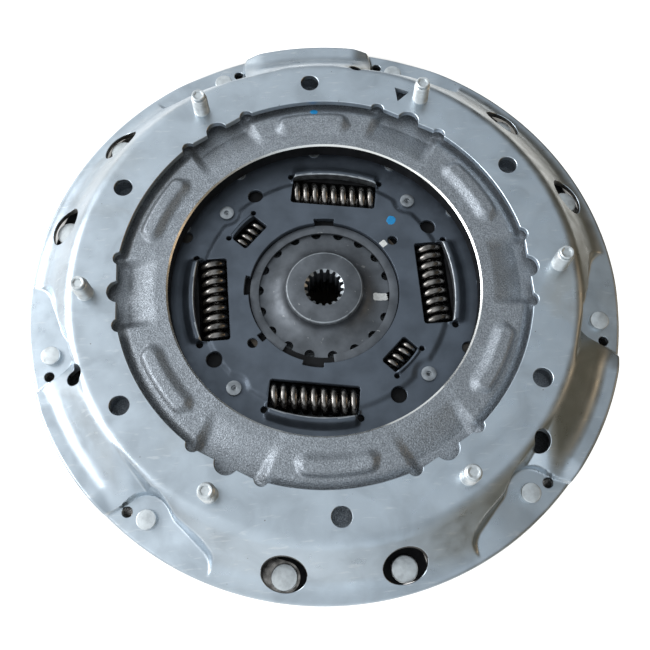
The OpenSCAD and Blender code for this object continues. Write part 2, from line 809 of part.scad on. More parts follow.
// A strip between two places on a circle, made of two leaves, with a hole at each end
module leaf_stack_between(circle_r, start, end, width, top) {
    span = abs(end - start);
    length = 2 * circle_r * sin(span / 2);
    middle_r = circle_r * cos(span / 2);
    for (layer = [0, 1]) rotate([0, 0, (start + end) / 2]) difference() {
        translate([middle_r, 0, top - (layer + 1) * leaf_stack / 2])
            linear_extrude(leaf_stack / 2 - 0.02) difference() {
                union() {
                    translate([-width / 2, -length / 2]) square([width, length]);
                    for (side = [-1, 1]) translate([0, side * length / 2]) circle(d = width, $fn = 48);
                }
                for (side = [-1, 1]) translate([0, side * length / 2])
                    circle(d = leaf_pin_d + 2 * hole_gap, $fn = 32);
            }
        rotate([0, 0, -(start + end) / 2]) at(circle_r, max(start, end))
            post((width > 10 ? lug_pin_d : leaf_pin_d) + 2 * hole_gap, top - 2, top + 1);
    }
}

module k1_leaf_springs() {
    color(spring_dark) for (centre = lug_centres)
        leaf_stack_between(lug_rivet_r, centre - leaf_1_angle, centre - lug_rivet_angle,
            leaf_1_width, plate_lug_top + leaf_stack);
}

module k2_leaf_springs() {
    color(spring_dark) for (centre = lug_centres)
        leaf_stack_between(leaf_2_circle, centre - leaf_2_angle, centre, leaf_2_width, leaf_2_top);
}

module leaf_rivets() {
    color(bright_steel) for (centre = lug_centres) {
        at(lug_rivet_r, centre - leaf_1_angle) {
            post(leaf_pin_d, lug_bottom - 0.2, plate_lug_top + leaf_stack + 0.2);
            post(2 * leaf_head_r, plate_lug_top + leaf_stack, plate_lug_top + leaf_stack + 1.2);
            post(2 * leaf_head_r, lug_bottom - leaf_head, lug_bottom);
        }
        at(leaf_2_circle, centre - leaf_2_angle) {
            post(leaf_pin_d, leaf_2_top - leaf_stack - 0.5, lug_bottom - 0.1);
            post(2 * leaf_head_r, leaf_2_top - leaf_stack - leaf_head, leaf_2_top - leaf_stack);
        }
    }
}

// First pressure plate and its pull cage

module k1_pressure_plate() {
    color(cast_grey) difference() {
        union() {
            turned([
                [plate_bore_r, plate_1_top - 8.6], [plate_bore_r, plate_1_top],
                [ring_opening_r - 3, plate_1_top], [ring_opening_r - 1, plate_1_top - 1.1],
                [ring_opening_r + 1.5, plate_1_shelf], [plate_r - 2, plate_1_shelf],
                [plate_r, plate_1_shelf - 2.8], [plate_r, plate_1_face],
                [friction_in_r + 4, plate_1_face], [friction_in_r + 3, plate_1_top - 8.6]
            ]);
            for (a = stud_angles) rotate([0, 0, a + 30]) {
                sector(boss_circle - boss_r, boss_circle + boss_r, plate_1_top - 1, plate_1_top + boss_rise,
                    -boss_half, boss_half);
                for (side = [-1, 1]) at(boss_circle, side * boss_half)
                    translate([0, 0, plate_1_top - 1])
                        cylinder(r = boss_r - boss_end_ease, h = boss_rise + 1, $fn = 48);
            }
            for (centre = lug_centres) {
                sector(leg_in_r, leg_out_r, plate_lug_bottom, leg_top, centre - lug_half, centre + lug_half);
                sector(leg_out_r - 1, lug_out_r, plate_lug_bottom, plate_lug_top,
                    centre - lug_half, centre + lug_half);
            }
        }
        for (a = stud_angles) intersection() {
            turned([
                [valley_in_r, plate_1_top], [valley_low_r, plate_1_top - valley_depth],
                [ring_opening_r + 6, plate_1_top - valley_depth], [ring_opening_r + 6, 1], [valley_in_r, 1]
            ]);
            wedge(a - valley_half, a + valley_half, ring_opening_r + 12, plate_1_top - 8, 2);
        }
        for (centre = lug_centres, side = [-1, 1]) at(lug_rivet_r, centre + side * lug_rivet_angle)
            post(lug_pin_d + 2 * hole_gap, plate_lug_bottom - 1, plate_lug_top + 1);
    }
}

module pull_cage() {
    color(sheet_dark) difference() {
        union() {
            for (centre = lug_centres) {
                sector(cage_in_r + 1, lug_out_r, cage_foot_bottom, plate_lug_bottom,
                    centre - lug_half, centre + lug_half);
                sector(cage_in_r, cage_r, cage_rim_top - 1, plate_lug_bottom,
                    centre - lug_half - 0.2, centre + lug_half + 0.2);
            }
            turned([
                [cage_r + 0.4, cage_rim_top + 3], [cage_r + 0.4, cage_rim_top - cage_sheet + 1.5],
                [cage_r - 1.1, cage_rim_top - cage_sheet], [adjuster_1_in - 0.5, cage_rim_top - cage_sheet],
                [adjuster_1_in - 0.5, cage_rim_top], [cage_in_r - 2.4, cage_rim_top],
                [cage_in_r - 0.4, cage_rim_top + 2], [cage_in_r - 0.4, cage_rim_top + 3]
            ]);
        }
        for (centre = lug_centres) {
            for (side = [-1, 1]) at(lug_rivet_r, centre + side * lug_rivet_angle)
                post(lug_pin_d + 2 * hole_gap, cage_foot_bottom - 1, plate_lug_bottom + 1);
            sector(cage_in_r - 3, cage_r + 3, cage_rim_top + 9, cage_foot_bottom - 9, centre - 9, centre + 9);
        }
    }
}

module pull_cage_rivets() {
    color(bright_steel) for (centre = lug_centres, side = [-1, 1])
        at(lug_rivet_r, centre + side * lug_rivet_angle)
            rivet(lug_pin_d, lug_head_r, lug_head, cage_foot_bottom,
                plate_lug_top + (side < 0 ? leaf_stack : 0), lug_tail_r, 2);
}

// A ring with sloping ramps on its lower face
module ramp_ring(inner, outer, top, thick, ramp, count) {
    ring(inner, outer, top - thick, top);
    for (i = [0 : count - 1]) intersection() {
        ring(inner, outer, top - thick - ramp, top - 0.5);
        rotate([0, 0, i * 360 / count]) translate([inner - 2, -9, top - thick - ramp])
            rotate([4.2, 0, 0]) cube([outer - inner + 4, 18, 4]);
    }
}

module k1_adjuster_ring() {
    color(zinc) ramp_ring(adjuster_1_in, adjuster_1_out, adjuster_1_top,
        adjuster_1_thick, adjuster_1_ramp, 12);
}

// Second pressure plate

module k2_pressure_plate() {
    color(cast_grey) difference() {
        union() {
            turned([
                [friction_in_r, plate_2_face], [friction_out_r, plate_2_face],
                [friction_out_r, plate_2_back + 2], [friction_out_r - 2, plate_2_back],
                [friction_in_r + 8, plate_2_back], [friction_in_r, plate_2_back + 5]
            ]);
            for (centre = lug_centres)
                sector(plate_2_lug_in, plate_2_lug_r, plate_2_lug_top - plate_2_lug_thick, plate_2_lug_top,
                    centre - plate_2_lug_half, centre + plate_2_lug_half);
        }
        for (centre = lug_centres) at(leaf_2_circle, centre)
            post(leaf_pin_d + 2 * hole_gap, plate_2_lug_top - plate_2_lug_thick - 1, plate_2_lug_top + 1);
    }
}

module k2_strap_rivets() {
    color(bright_steel) for (centre = lug_centres) at(leaf_2_circle, centre)
        rivet(leaf_pin_d, leaf_head_r, leaf_head, plate_2_lug_top - plate_2_lug_thick, leaf_2_top, 3, 1.5);
}

module k2_adjuster_ring() {
    thick = plate_2_back - run_gap - adjuster_2_bottom;
    color(zinc) ramp_ring(adjuster_2_in, adjuster_2_out, plate_2_back - run_gap,
        thick - adjuster_1_ramp, adjuster_1_ramp, 12);
}

// Friction discs

// A facing with radial grooves in its rubbing face
module facing(low, grooves_up) {
    difference() {
        ring(facing_bore_r, facing_r, low, low + facing_thick);
        for (a = [0 : 15 : 345]) rotate([0, 0, a])
            translate([facing_bore_r - 2, -0.7, grooves_up ? low + facing_thick - 0.8 : low - 1])
                cube([facing_r - facing_bore_r + 4, 1.4, 1.8]);
        for (i = [0 : segment_count - 1]) at(facing_pin_r, (i + 0.25) * 360 / segment_count) {
            post(facing_pin_d + 2 * hole_gap, low - 1, low + facing_thick + 1);
            translate([0, 0, grooves_up ? low + 1.4 : low - 1])
                cylinder(r = facing_pin_head_r + 0.3, h = facing_thick - 0.4, $fn = 32);
        }
    }
}

// Thin segments that carry the facings and give when the clutch closes
module cushion_segments(middle) {
    for (i = [0 : segment_count - 1]) rotate([0, 0, i * 360 / segment_count]) difference() {
        sector(segment_in_r, facing_r - 1, middle - cushion_thick / 2 + 0.02, middle + cushion_thick / 2 - 0.02,
            -14, 14);
        wedge(14 - 5, 15, facing_bore_r - 0.5, middle - 2, middle + 2);
        wedge(-15, -14 + 5, facing_bore_r - 0.5, middle - 2, middle + 2);
        at(facing_pin_r, 7.5) post(facing_pin_d + 2 * hole_gap, middle - 2, middle + 2);
        at(segment_pin_r, 0) post(segment_pin_d + 2 * hole_gap, middle - 2, middle + 2);
    }
}

// Tubular rivets through both facings
module facing_rivets(middle) {
    low = middle - cushion_thick / 2 - 1.4;
    high = middle + cushion_thick / 2 + 1.4;
    for (i = [0 : segment_count - 1]) at(facing_pin_r, (i + 0.25) * 360 / segment_count) difference() {
        union() {
            post(facing_pin_d, low - 0.3, high + 0.3);
            for (z = [low - 0.6, high]) translate([0, 0, z])
                cylinder(r = facing_pin_head_r, h = 0.6, $fn = 32);
        }
        post(2, low - 2, high + 2);
    }
}

module k1_front_facing() {
    color(friction_brown) facing(disc_1_middle + cushion_thick / 2, true);
}

module k1_rear_facing() {
    color(friction_brown) facing(disc_1_top - disc_thick, false);
}

module k1_cushion_segments() {
    color(sheet_dark) cushion_segments(disc_1_middle);
}

module k1_segment_rivets() {
    color(bright_steel) for (i = [0 : segment_count - 1]) at(segment_pin_r, i * 360 / segment_count) {
        post(segment_pin_d, disc_1_middle - cushion_thick / 2 - 0.9, cover_1_low + damper_sheet + 0.2);
        post(6.4, disc_1_middle - cushion_thick / 2 - 1, disc_1_middle - cushion_thick / 2);
        post(6.4, cover_1_low + damper_sheet, cover_1_low + damper_sheet + 0.6);
    }
}

module k1_facing_rivets() {
    color(brass_rivet) facing_rivets(disc_1_middle);
}

// First disc's damper

spring_1_half = spring_1_length / 2 + window_clear;
small_half = small_spring_length / 2 + window_clear;

// The bowed lip over a spring's outer side
module window_lip(angle, edge, half_length, bow) {
    arc_r = (half_length * half_length + bow * bow) / (2 * bow);
    rotate([0, 0, angle]) intersection() {
        translate([edge + bow - arc_r, 0, 0])
            ring(arc_r - lip_inset, arc_r + lip_sheet, cover_1_low + lip_inset,
                cover_1_high + damper_sheet + lip_rise);
        translate([edge - 1, lip_inset - half_length, cover_1_low])
            cube([bow + lip_sheet + 2, 2 * (half_length - lip_inset), 20]);
    }
}

// The window's cut, with its bowed outer side
module lip_window(angle, inner, edge, half_length, bow) {
    arc_r = (half_length * half_length + bow * bow) / (2 * bow);
    spring_window(angle, inner, edge, half_length, cover_1_low - 1, cover_1_high + damper_sheet + 5);
    rotate([0, 0, angle]) intersection() {
        translate([edge + bow - arc_r, 0, cover_1_low - 1]) cylinder(r = arc_r, h = 12, $fn = 180);
        translate([edge - 1, -half_length, cover_1_low - 1]) cube([bow + 2, 2 * half_length, 12]);
    }
}

module k1_cover_plate() {
    large_in = spring_1_offset - spring_1_d / 2 + 0.1;
    large_edge = spring_1_offset + spring_1_d / 2 - 0.6;
    small_in = small_spring_offset - small_spring_d / 2;
    small_edge = small_spring_offset + small_spring_d / 2 - 0.3;
    color(plate_grey) difference() {
        union() {
            difference() {
                turned([
                    [cover_1_in, cover_1_high], [cover_step_r, cover_1_high],
                    [cover_step_r + cover_step_run, cover_1_low], [cover_1_out, cover_1_low],
                    [cover_1_out, cover_1_low + damper_sheet],
                    [cover_step_r + cover_step_run, cover_1_low + damper_sheet],
                    [cover_step_r, cover_1_high + damper_sheet], [cover_1_in, cover_1_high + damper_sheet]
                ]);
                for (a = window_1_angles) lip_window(a, large_in, large_edge, spring_1_half, lip_bow);
                for (a = small_window_angles) lip_window(a, small_in, small_edge, small_half, 1);
            }
            for (a = window_1_angles) window_lip(a, large_edge, spring_1_half, lip_bow);
            for (a = small_window_angles) window_lip(a, small_edge, small_half, 1);
            for (a = stop_1_angles) at(stop_1_r, a)
                post(2 * (stop_seat_r + stop_seat_wall), cover_1_low, cover_1_low + damper_sheet);
        }
        for (a = stop_1_angles) at(stop_1_r, a)
            post(2 * stop_seat_r, cover_1_low + damper_sheet, cover_1_high + 8);
        for (a = window_1_angles, side = [-1, 1]) rotate([0, 0, a])
            translate([large_edge + 1.2, side * (spring_1_half + 1.2), 0])
                post(2 * lip_end_hole_r, cover_1_low - 1, cover_1_high + 8);
        for (a = small_window_angles, side = [-1, 1]) rotate([0, 0, a])
            translate([small_edge + 1.6, side * (small_half + 1), 0])
                post(2 * lip_end_hole_r - 0.6, cover_1_low - 1, cover_1_high + 8);
        for (a = stop_1_angles) at(stop_1_r, a) post(stop_pin_d + 2 * hole_gap, -30, 0);
        for (a = large_hole_angles) at(63, a) post(7.6, -30, 0);
        for (a = small_hole_angles) at(43.6, a) post(4.8, -30, 0);
        for (a = edge_hole_angles) at(75, a) post(6, -30, 0);
        for (a = [86.3, 172, 258.5]) sector(30, cover_1_in + 2.2, -30, 0, a - 7.5, a + 7.5);
        sector(30, cover_1_in + 2.6, -30, 0, 212, 218);
        for (i = [0 : segment_count - 1]) at(segment_pin_r, i * 360 / segment_count)
            post(segment_pin_d + 2 * hole_gap, -30, 0);
    }
}

module k1_retainer_plate() {
    color(plate_grey) difference() {
        ring(retainer_1_in, retainer_1_out, retainer_1_top - damper_sheet, retainer_1_top);
        for (a = window_1_angles) spring_window(a, spring_1_offset - 6.8, spring_1_offset + 6.8,
            spring_1_half, -40, 0);
        for (a = small_window_angles) spring_window(a, small_spring_offset - 4, small_spring_offset + 4,
            small_half, -40, 0);
        for (a = stop_1_angles) at(stop_1_r, a) post(stop_pin_d + 2 * hole_gap, -40, 0);
        for (a = large_hole_angles) at(63, a) post(7.6, -40, 0);
    }
}

module k1_stop_rivets() {
    color(bright_steel) for (a = stop_1_angles) at(stop_1_r, a) difference() {
        rivet(stop_pin_d, stop_head_r, stop_head, retainer_1_top - damper_sheet,
            cover_1_low + damper_sheet, 4.1, 1.2);
        post(stop_cup_d, cover_1_low + damper_sheet, cover_1_low + damper_sheet + stop_head + 1);
    }
}

module k1_large_springs() {
    color(spring_dark) for (a = window_1_angles)
        lying_spring(spring_1_offset, a, damper_1_middle, spring_1_length, spring_1_d, spring_1_wire, 8);
}

module k1_small_springs() {
    color(spring_dark) for (a = small_window_angles)
        lying_spring(small_spring_offset, a, damper_1_middle + 1.4, small_spring_length,
            small_spring_d, 2.3, 4);
}

// Hubs

// Spline teeth on a bore: wedges between the root and tip circles
module spline_cut(root_d, tip_d, teeth, low, high) {
    translate([0, 0, low]) linear_extrude(high - low) difference() {
        circle(d = root_d, $fn = 96);
        for (i = [0 : teeth - 1]) rotate([0, 0, i * 360 / teeth]) polygon([
            [tip_d / 2, -0.16 * PI * tip_d / teeth], [tip_d / 2, 0.16 * PI * tip_d / teeth],
            [root_d / 2 + 0.5, 0.30 * PI * root_d / teeth], [root_d / 2 + 0.5, -0.30 * PI * root_d / teeth]
        ]);
    }
}

module k1_hub() {
    color(hub_grey) difference() {
        turned([
            [0, hub_1_face], [hub_1_boss_r - 0.6, hub_1_face], [hub_1_boss_r, hub_1_face - 0.6],
            [hub_1_boss_r + 1.2, hub_1_face - 5], [hub_1_dish_r - 2, flange_1_top + 1.4],
            [hub_1_dish_r, flange_1_top + 1.2], [hub_1_dish_r + 1, flange_1_top - 0.4],
            [hub_1_r, flange_1_top - 0.4], [hub_1_r, flange_1_bottom],
            [hub_1_dish_r, flange_1_bottom], [hub_1_dish_r - 1, hub_1_back], [0, hub_1_back]
        ]);
        spline_cut(spline_1_root_d, spline_1_tip_d, spline_1_teeth, hub_1_back - 1, hub_1_face + 1);
        translate([0, 0, hub_1_face - 0.8])
            cylinder(r1 = spline_1_tip_d / 2, r2 = spline_1_tip_d / 2 + 2.2, h = 1, $fn = 96);
        for (i = [0 : tooth_count - 1]) at(tooth_circle, 13.5 + i * 360 / tooth_count)
            post(2 * tooth_gap_r, flange_1_bottom - 1, flange_1_top + 1);
    }
}

module k1_hub_flange() {
    color(hub_grey) difference() {
        ring(hub_1_r + hole_gap, flange_1_r, flange_1_bottom, flange_1_top);
        for (a = window_1_angles) spring_window(a, spring_1_offset - 7.7, spring_1_offset + 7.7,
            spring_1_half, -40, 0);
        for (a = small_window_angles) spring_window(a, small_spring_offset - 5.2, small_spring_offset + 5.2,
            small_half, -40, 0);
        for (a = stop_1_angles) {
            pin_half = asin(stop_pin_d / 2 / stop_1_r);
            wedge_half = damper_twist + pin_half + 0.6;
            sector(stop_1_r - stop_pin_d / 2 - 0.8, flange_1_r + 3, -40, 0, a - wedge_half, a + wedge_half);
        }
    }
}

module k1_snap_ring() {
    low = flange_1_top + 0.05;
    color(sheet_dark) difference() {
        ring(snap_ring_in, snap_ring_out, low, low + snap_ring_thick);
        wedge(snap_ring_gap_start, snap_ring_gap_end, snap_ring_out + 5, low - 1, low + 3);
    }
}

module k1_friction_ring() {
    color(friction_brown) ring(39.8, 43.5, flange_1_top + seat_gap, cover_1_high - seat_gap);
}

module k1_friction_spring() {
    color(spring_dark) ring(retainer_1_in + 0.5, 46, retainer_1_top + 0.25, flange_1_bottom - 0.25);
}

// Second disc

module k2_front_facing() {
    color(friction_brown) facing(disc_2_middle + cushion_thick / 2, true);
}

module k2_rear_facing() {
    color(friction_brown) facing(disc_2_top - disc_thick, false);
}

module k2_cushion_segments() {
    color(sheet_dark) cushion_segments(disc_2_middle);
}

module k2_segment_rivets() {
    color(bright_steel) for (i = [0 : segment_count - 1]) at(segment_pin_r, i * 360 / segment_count) {
        post(segment_pin_d, carrier_outer_top - damper_sheet - 0.2, disc_2_middle + cushion_thick / 2 + 0.5);
        post(6.4, disc_2_middle + cushion_thick / 2, disc_2_middle + cushion_thick / 2 + 0.8);
        post(6.4, carrier_outer_top - damper_sheet - 0.6, carrier_outer_top - damper_sheet);
    }
}

module k2_facing_rivets() {
    color(brass_rivet) facing_rivets(disc_2_middle);
}

module k2_carrier_plate() {
    color(plate_grey) difference() {
        turned([
            [plate_2_front_in, carrier_inner_top], [carrier_step_r, carrier_inner_top],
            [carrier_step_r + 2, carrier_outer_top], [cover_1_out, carrier_outer_top],
            [cover_1_out, carrier_outer_top - damper_sheet],
            [carrier_step_r + 2.6, carrier_outer_top - damper_sheet],
            [carrier_step_r + 0.6, carrier_inner_top - damper_sheet],
            [plate_2_front_in, carrier_inner_top - damper_sheet]
        ]);
        for (a = window_2_angles) spring_window(a, spring_2_offset - 6.2, spring_2_offset + 6.2,
            spring_2_length / 2 + window_clear, -60, -30);
        for (a = stop_2_angles) at(stop_2_r, a) post(stop_pin_d + 2 * hole_gap, -60, -30);
        for (i = [0 : segment_count - 1]) at(segment_pin_r, i * 360 / segment_count)
            post(segment_pin_d + 2 * hole_gap, -60, -30);
    }
}

module k2_front_plate() {
    color(plate_grey) difference() {
        ring(plate_2_front_in, plate_2_front_out, front_plate_bottom, front_plate_bottom + front_plate_sheet);
        for (a = window_2_angles) spring_window(a, spring_2_offset - 5.9, spring_2_offset + 5.9,
            spring_2_length / 2 + window_clear, -60, -30);
        for (a = stop_2_angles) at(stop_2_r, a) post(stop_pin_d + 2 * hole_gap, -60, -30);
    }
}

module k2_stop_rivets() {
    color(bright_steel) for (a = stop_2_angles) at(stop_2_r, a)
        rivet(stop_pin_d, stop_head_r, 1.2, carrier_inner_top - damper_sheet,
            front_plate_bottom + front_plate_sheet, 4.1, 1.2);
}

module k2_springs() {
    color(spring_dark) for (a = window_2_angles)
        lying_spring(spring_2_offset, a, damper_2_middle, spring_2_length, spring_2_d, 3, 6);
}

module k2_hub() {
    color(hub_grey) difference() {
        turned([
            [0, flange_2_top], [flange_2_r, flange_2_top], [flange_2_r, flange_2_bottom],
            [hub_2_r + 2, flange_2_bottom], [hub_2_r, flange_2_bottom - 2],
            [hub_2_r, hub_2_back + 1], [hub_2_r - 1, hub_2_back], [0, hub_2_back]
        ]);
        spline_cut(spline_2_root_d, spline_2_tip_d, spline_2_teeth, hub_2_back - 1, flange_2_top + 1);
        for (a = window_2_angles) spring_window(a, spring_2_offset - 6.4, spring_2_offset + 6.4,
            spring_2_length / 2 + window_clear, -60, -30);
        for (a = stop_2_angles) {
            pin_half = asin(stop_pin_d / 2 / stop_2_r);
            wedge_half = damper_twist + pin_half + 0.6;
            sector(stop_2_r - stop_pin_d / 2 - 0.8, flange_2_r + 3, -60, -30, a - wedge_half, a + wedge_half);
        }
    }
}

module k2_friction_ring() {
    color(friction_brown) ring(plate_2_front_in + 0.3, plate_2_front_in + 0.9, flange_2_top + seat_gap, front_plate_bottom - seat_gap);
}

drive_ring();
flywheel_studs();
flange_rivets();
central_plate();
clutch_cover();
k1_front_fulcrum_ring();
k1_rear_fulcrum_ring();
k2_fulcrum_ring();
k1_lever_spring();
k2_lever_spring();
k1_leaf_springs();
k2_leaf_springs();
leaf_rivets();
bearing_outer_ring();
bearing_inner_ring();
bearing_balls();
bearing_cage();
bearing_seals();
bearing_circlip();
k1_pressure_plate();
pull_cage();
pull_cage_rivets();
k1_adjuster_ring();
k2_pressure_plate();
k2_strap_rivets();
k2_adjuster_ring();
k1_front_facing();
k1_rear_facing();
k1_cushion_segments();
k1_segment_rivets();
k1_facing_rivets();
k1_cover_plate();
k1_retainer_plate();
k1_stop_rivets();
k1_large_springs();
k1_small_springs();
k1_hub();
k1_hub_flange();
k1_snap_ring();
k1_friction_ring();
k1_friction_spring();
k2_front_facing();
k2_rear_facing();
k2_cushion_segments();
k2_segment_rivets();
k2_facing_rivets();
k2_carrier_plate();
k2_front_plate();
k2_stop_rivets();
k2_springs();
k2_hub();
k2_friction_ring();
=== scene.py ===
"""Looks of the dual clutch assembly: its zinc-plated drive ring, cast plates, springs and hubs.

The frame's origin is the middle of the drive ring's flywheel face, and +Z points to the engine.
Sizes are in millimetres and become metres where a mesh is made.
"""

import json
import math

import bmesh
import bpy
import numpy as np
from mathutils import Matrix, Vector

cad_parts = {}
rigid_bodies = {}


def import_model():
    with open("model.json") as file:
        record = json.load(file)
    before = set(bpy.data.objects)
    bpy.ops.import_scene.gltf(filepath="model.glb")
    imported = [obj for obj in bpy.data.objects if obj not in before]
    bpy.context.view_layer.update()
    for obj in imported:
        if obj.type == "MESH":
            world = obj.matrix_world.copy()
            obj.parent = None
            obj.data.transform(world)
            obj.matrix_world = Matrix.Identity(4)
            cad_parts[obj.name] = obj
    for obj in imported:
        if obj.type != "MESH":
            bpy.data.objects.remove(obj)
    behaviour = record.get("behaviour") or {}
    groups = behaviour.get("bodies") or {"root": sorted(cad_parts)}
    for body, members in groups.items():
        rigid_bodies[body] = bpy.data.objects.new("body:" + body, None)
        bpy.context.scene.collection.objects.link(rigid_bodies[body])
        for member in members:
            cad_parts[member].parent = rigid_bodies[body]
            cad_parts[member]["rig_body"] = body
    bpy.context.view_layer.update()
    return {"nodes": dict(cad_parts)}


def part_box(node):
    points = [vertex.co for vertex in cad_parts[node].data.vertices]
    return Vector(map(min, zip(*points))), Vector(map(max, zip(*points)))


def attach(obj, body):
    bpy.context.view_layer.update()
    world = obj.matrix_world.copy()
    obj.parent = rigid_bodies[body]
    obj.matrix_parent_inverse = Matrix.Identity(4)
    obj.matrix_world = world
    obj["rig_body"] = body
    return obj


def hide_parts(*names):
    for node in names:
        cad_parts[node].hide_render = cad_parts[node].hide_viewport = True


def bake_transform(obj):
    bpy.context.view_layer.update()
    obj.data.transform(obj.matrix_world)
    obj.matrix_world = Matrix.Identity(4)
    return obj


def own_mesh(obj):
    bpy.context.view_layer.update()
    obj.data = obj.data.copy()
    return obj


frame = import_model()

MM = 0.001


def mm_box(node):
    """Lowest and highest corner of a CAD node, in millimetres."""
    low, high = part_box(node)
    return np.array(low) / MM, np.array(high) / MM


# Sizes that the frame gives
RIM_R = mm_box("drive_ring")[1][0]
RING_BOTTOM = mm_box("drive_ring")[0][2]
FLOOR_HEIGHT = min(mm_box(n)[0][2] for n in frame["nodes"])


def placed(name, data):
    """A new object in the scene."""
    made = bpy.data.objects.new(name, data)
    bpy.context.scene.collection.objects.link(made)
    return made


# Camera
PICTURE_SIZE = 650
FOCAL_PIXELS = 791.023
CAMERA_PLACE = Vector((-10.730, -145.564, 343.664)) * MM
CAMERA_TILT = math.radians(-19.626)
CAMERA_ROLL = math.radians(-0.5225)
CAMERA_TURN = math.radians(4.4284)


def make_camera():
    """The photograph's camera: above the clutch, a little to the near side."""
    data = bpy.data.cameras.new("camera")
    data.sensor_width = 36.0
    data.lens = FOCAL_PIXELS * data.sensor_width / PICTURE_SIZE
    data.clip_start = 0.01
    data.clip_end = 50.0
    camera = placed("camera", data)
    world_to_camera = Matrix.Rotation(CAMERA_ROLL, 3, "Z") @ Matrix.Rotation(CAMERA_TILT, 3, "X")
    turned = Matrix.Rotation(-CAMERA_TURN, 3, "Z") @ world_to_camera.transposed()
    camera.matrix_world = Matrix.Translation(CAMERA_PLACE) @ turned.to_4x4()
    bpy.context.scene.camera = camera


make_camera()


# Materials


def new_material(name, colour, metallic, roughness):
    """A principled material with constant values on its own sockets."""
    material = bpy.data.materials.new(name)
    material.use_nodes = True
    shader = material.node_tree.nodes["Principled BSDF"]
    shader.inputs["Base Color"].default_value = (*colour, 1.0)
    shader.inputs["Metallic"].default_value = metallic
    shader.inputs["Roughness"].default_value = roughness
    return material


def noise(material, scale, detail, stretch=(1.0, 1.0, 1.0), distortion=0.0):
    """A noise texture in the piece's own coordinates, and its factor socket."""
    tree = material.node_tree
    place = tree.nodes.new("ShaderNodeTexCoord")
    mapping = tree.nodes.new("ShaderNodeMapping")
    texture = tree.nodes.new("ShaderNodeTexNoise")
    mapping.inputs["Scale"].default_value = stretch
    texture.inputs["Scale"].default_value = scale
    texture.inputs["Detail"].default_value = detail
    texture.inputs["Distortion"].default_value = distortion
    tree.links.new(place.outputs["Object"], mapping.inputs["Vector"])
    tree.links.new(mapping.outputs["Vector"], texture.inputs["Vector"])
    return texture.outputs["Fac"]


def ranged(material, socket, low, high, to_low, to_high):
    """The socket's value moved from one range to another."""
    tree = material.node_tree
    node = tree.nodes.new("ShaderNodeMapRange")
    node.inputs["From Min"].default_value = low
    node.inputs["From Max"].default_value = high
    node.inputs["To Min"].default_value = to_low
    node.inputs["To Max"].default_value = to_high
    tree.links.new(socket, node.inputs["Value"])
    return node.outputs["Result"]


def colour_ramp(tree, socket, stops):
    """A colour ramp of (position, colour) stops driven by a socket."""
    node = tree.nodes.new("ShaderNodeValToRGB")
    elements = node.color_ramp.elements
    while len(elements) < len(stops):
        elements.new(0.5)
    for element, (position, colour) in zip(elements, stops):
        element.position = position
        element.color = (*colour, 1.0)
    tree.links.new(socket, node.inputs["Fac"])
    return node.outputs["Color"]


def feed(tree, value, place):
    """Links a socket to a node's input, or sets the input to a number or a colour."""
    if isinstance(value, bpy.types.NodeSocket):
        tree.links.new(value, place)
    else:
        place.default_value = (*value, 1.0) if isinstance(value, tuple) else value


def mixed(tree, factor, first, second, blend_type="MIX"):
    """Two colours mixed by a factor."""
    node = tree.nodes.new("ShaderNodeMix")
    node.data_type = "RGBA"
    node.blend_type = blend_type
    for value, place in ((factor, 0), (first, 6), (second, 7)):
        feed(tree, value, node.inputs[place])
    return node.outputs[2]


def plug(material, socket, name):
    """Links a socket to one of the shader's inputs."""
    shader = material.node_tree.nodes["Principled BSDF"]
    material.node_tree.links.new(socket, shader.inputs[name])


def bump(material, height, depth):
    """Adds a bump of a depth in millimetres, on top of those already there."""
    tree = material.node_tree
    shader = tree.nodes["Principled BSDF"]
    node = tree.nodes.new("ShaderNodeBump")
    node.inputs["Distance"].default_value = depth * MM
    node.inputs["Strength"].default_value = 1.0
    tree.links.new(height, node.inputs["Height"])
    if shader.inputs["Normal"].is_linked:
        tree.links.new(shader.inputs["Normal"].links[0].from_socket, node.inputs["Normal"])
    tree.links.new(node.outputs["Normal"], shader.inputs["Normal"])


def clouded(material, texture, colour, factors, places):
    """A colour that runs through darker and lighter copies of itself as a texture's value grows."""
    copies = [tuple(min(1.0, c * f) for c in colour) for f in factors]
    return colour_ramp(material.node_tree, texture, list(zip(places, copies)))


def roughened(material, scale, detail, low, high, from_low=0.3, from_high=0.7):
    """Lets the roughness wander between two values."""
    texture = noise(material, scale, detail)
    plug(material, ranged(material, texture, from_low, from_high, low, high), "Roughness")


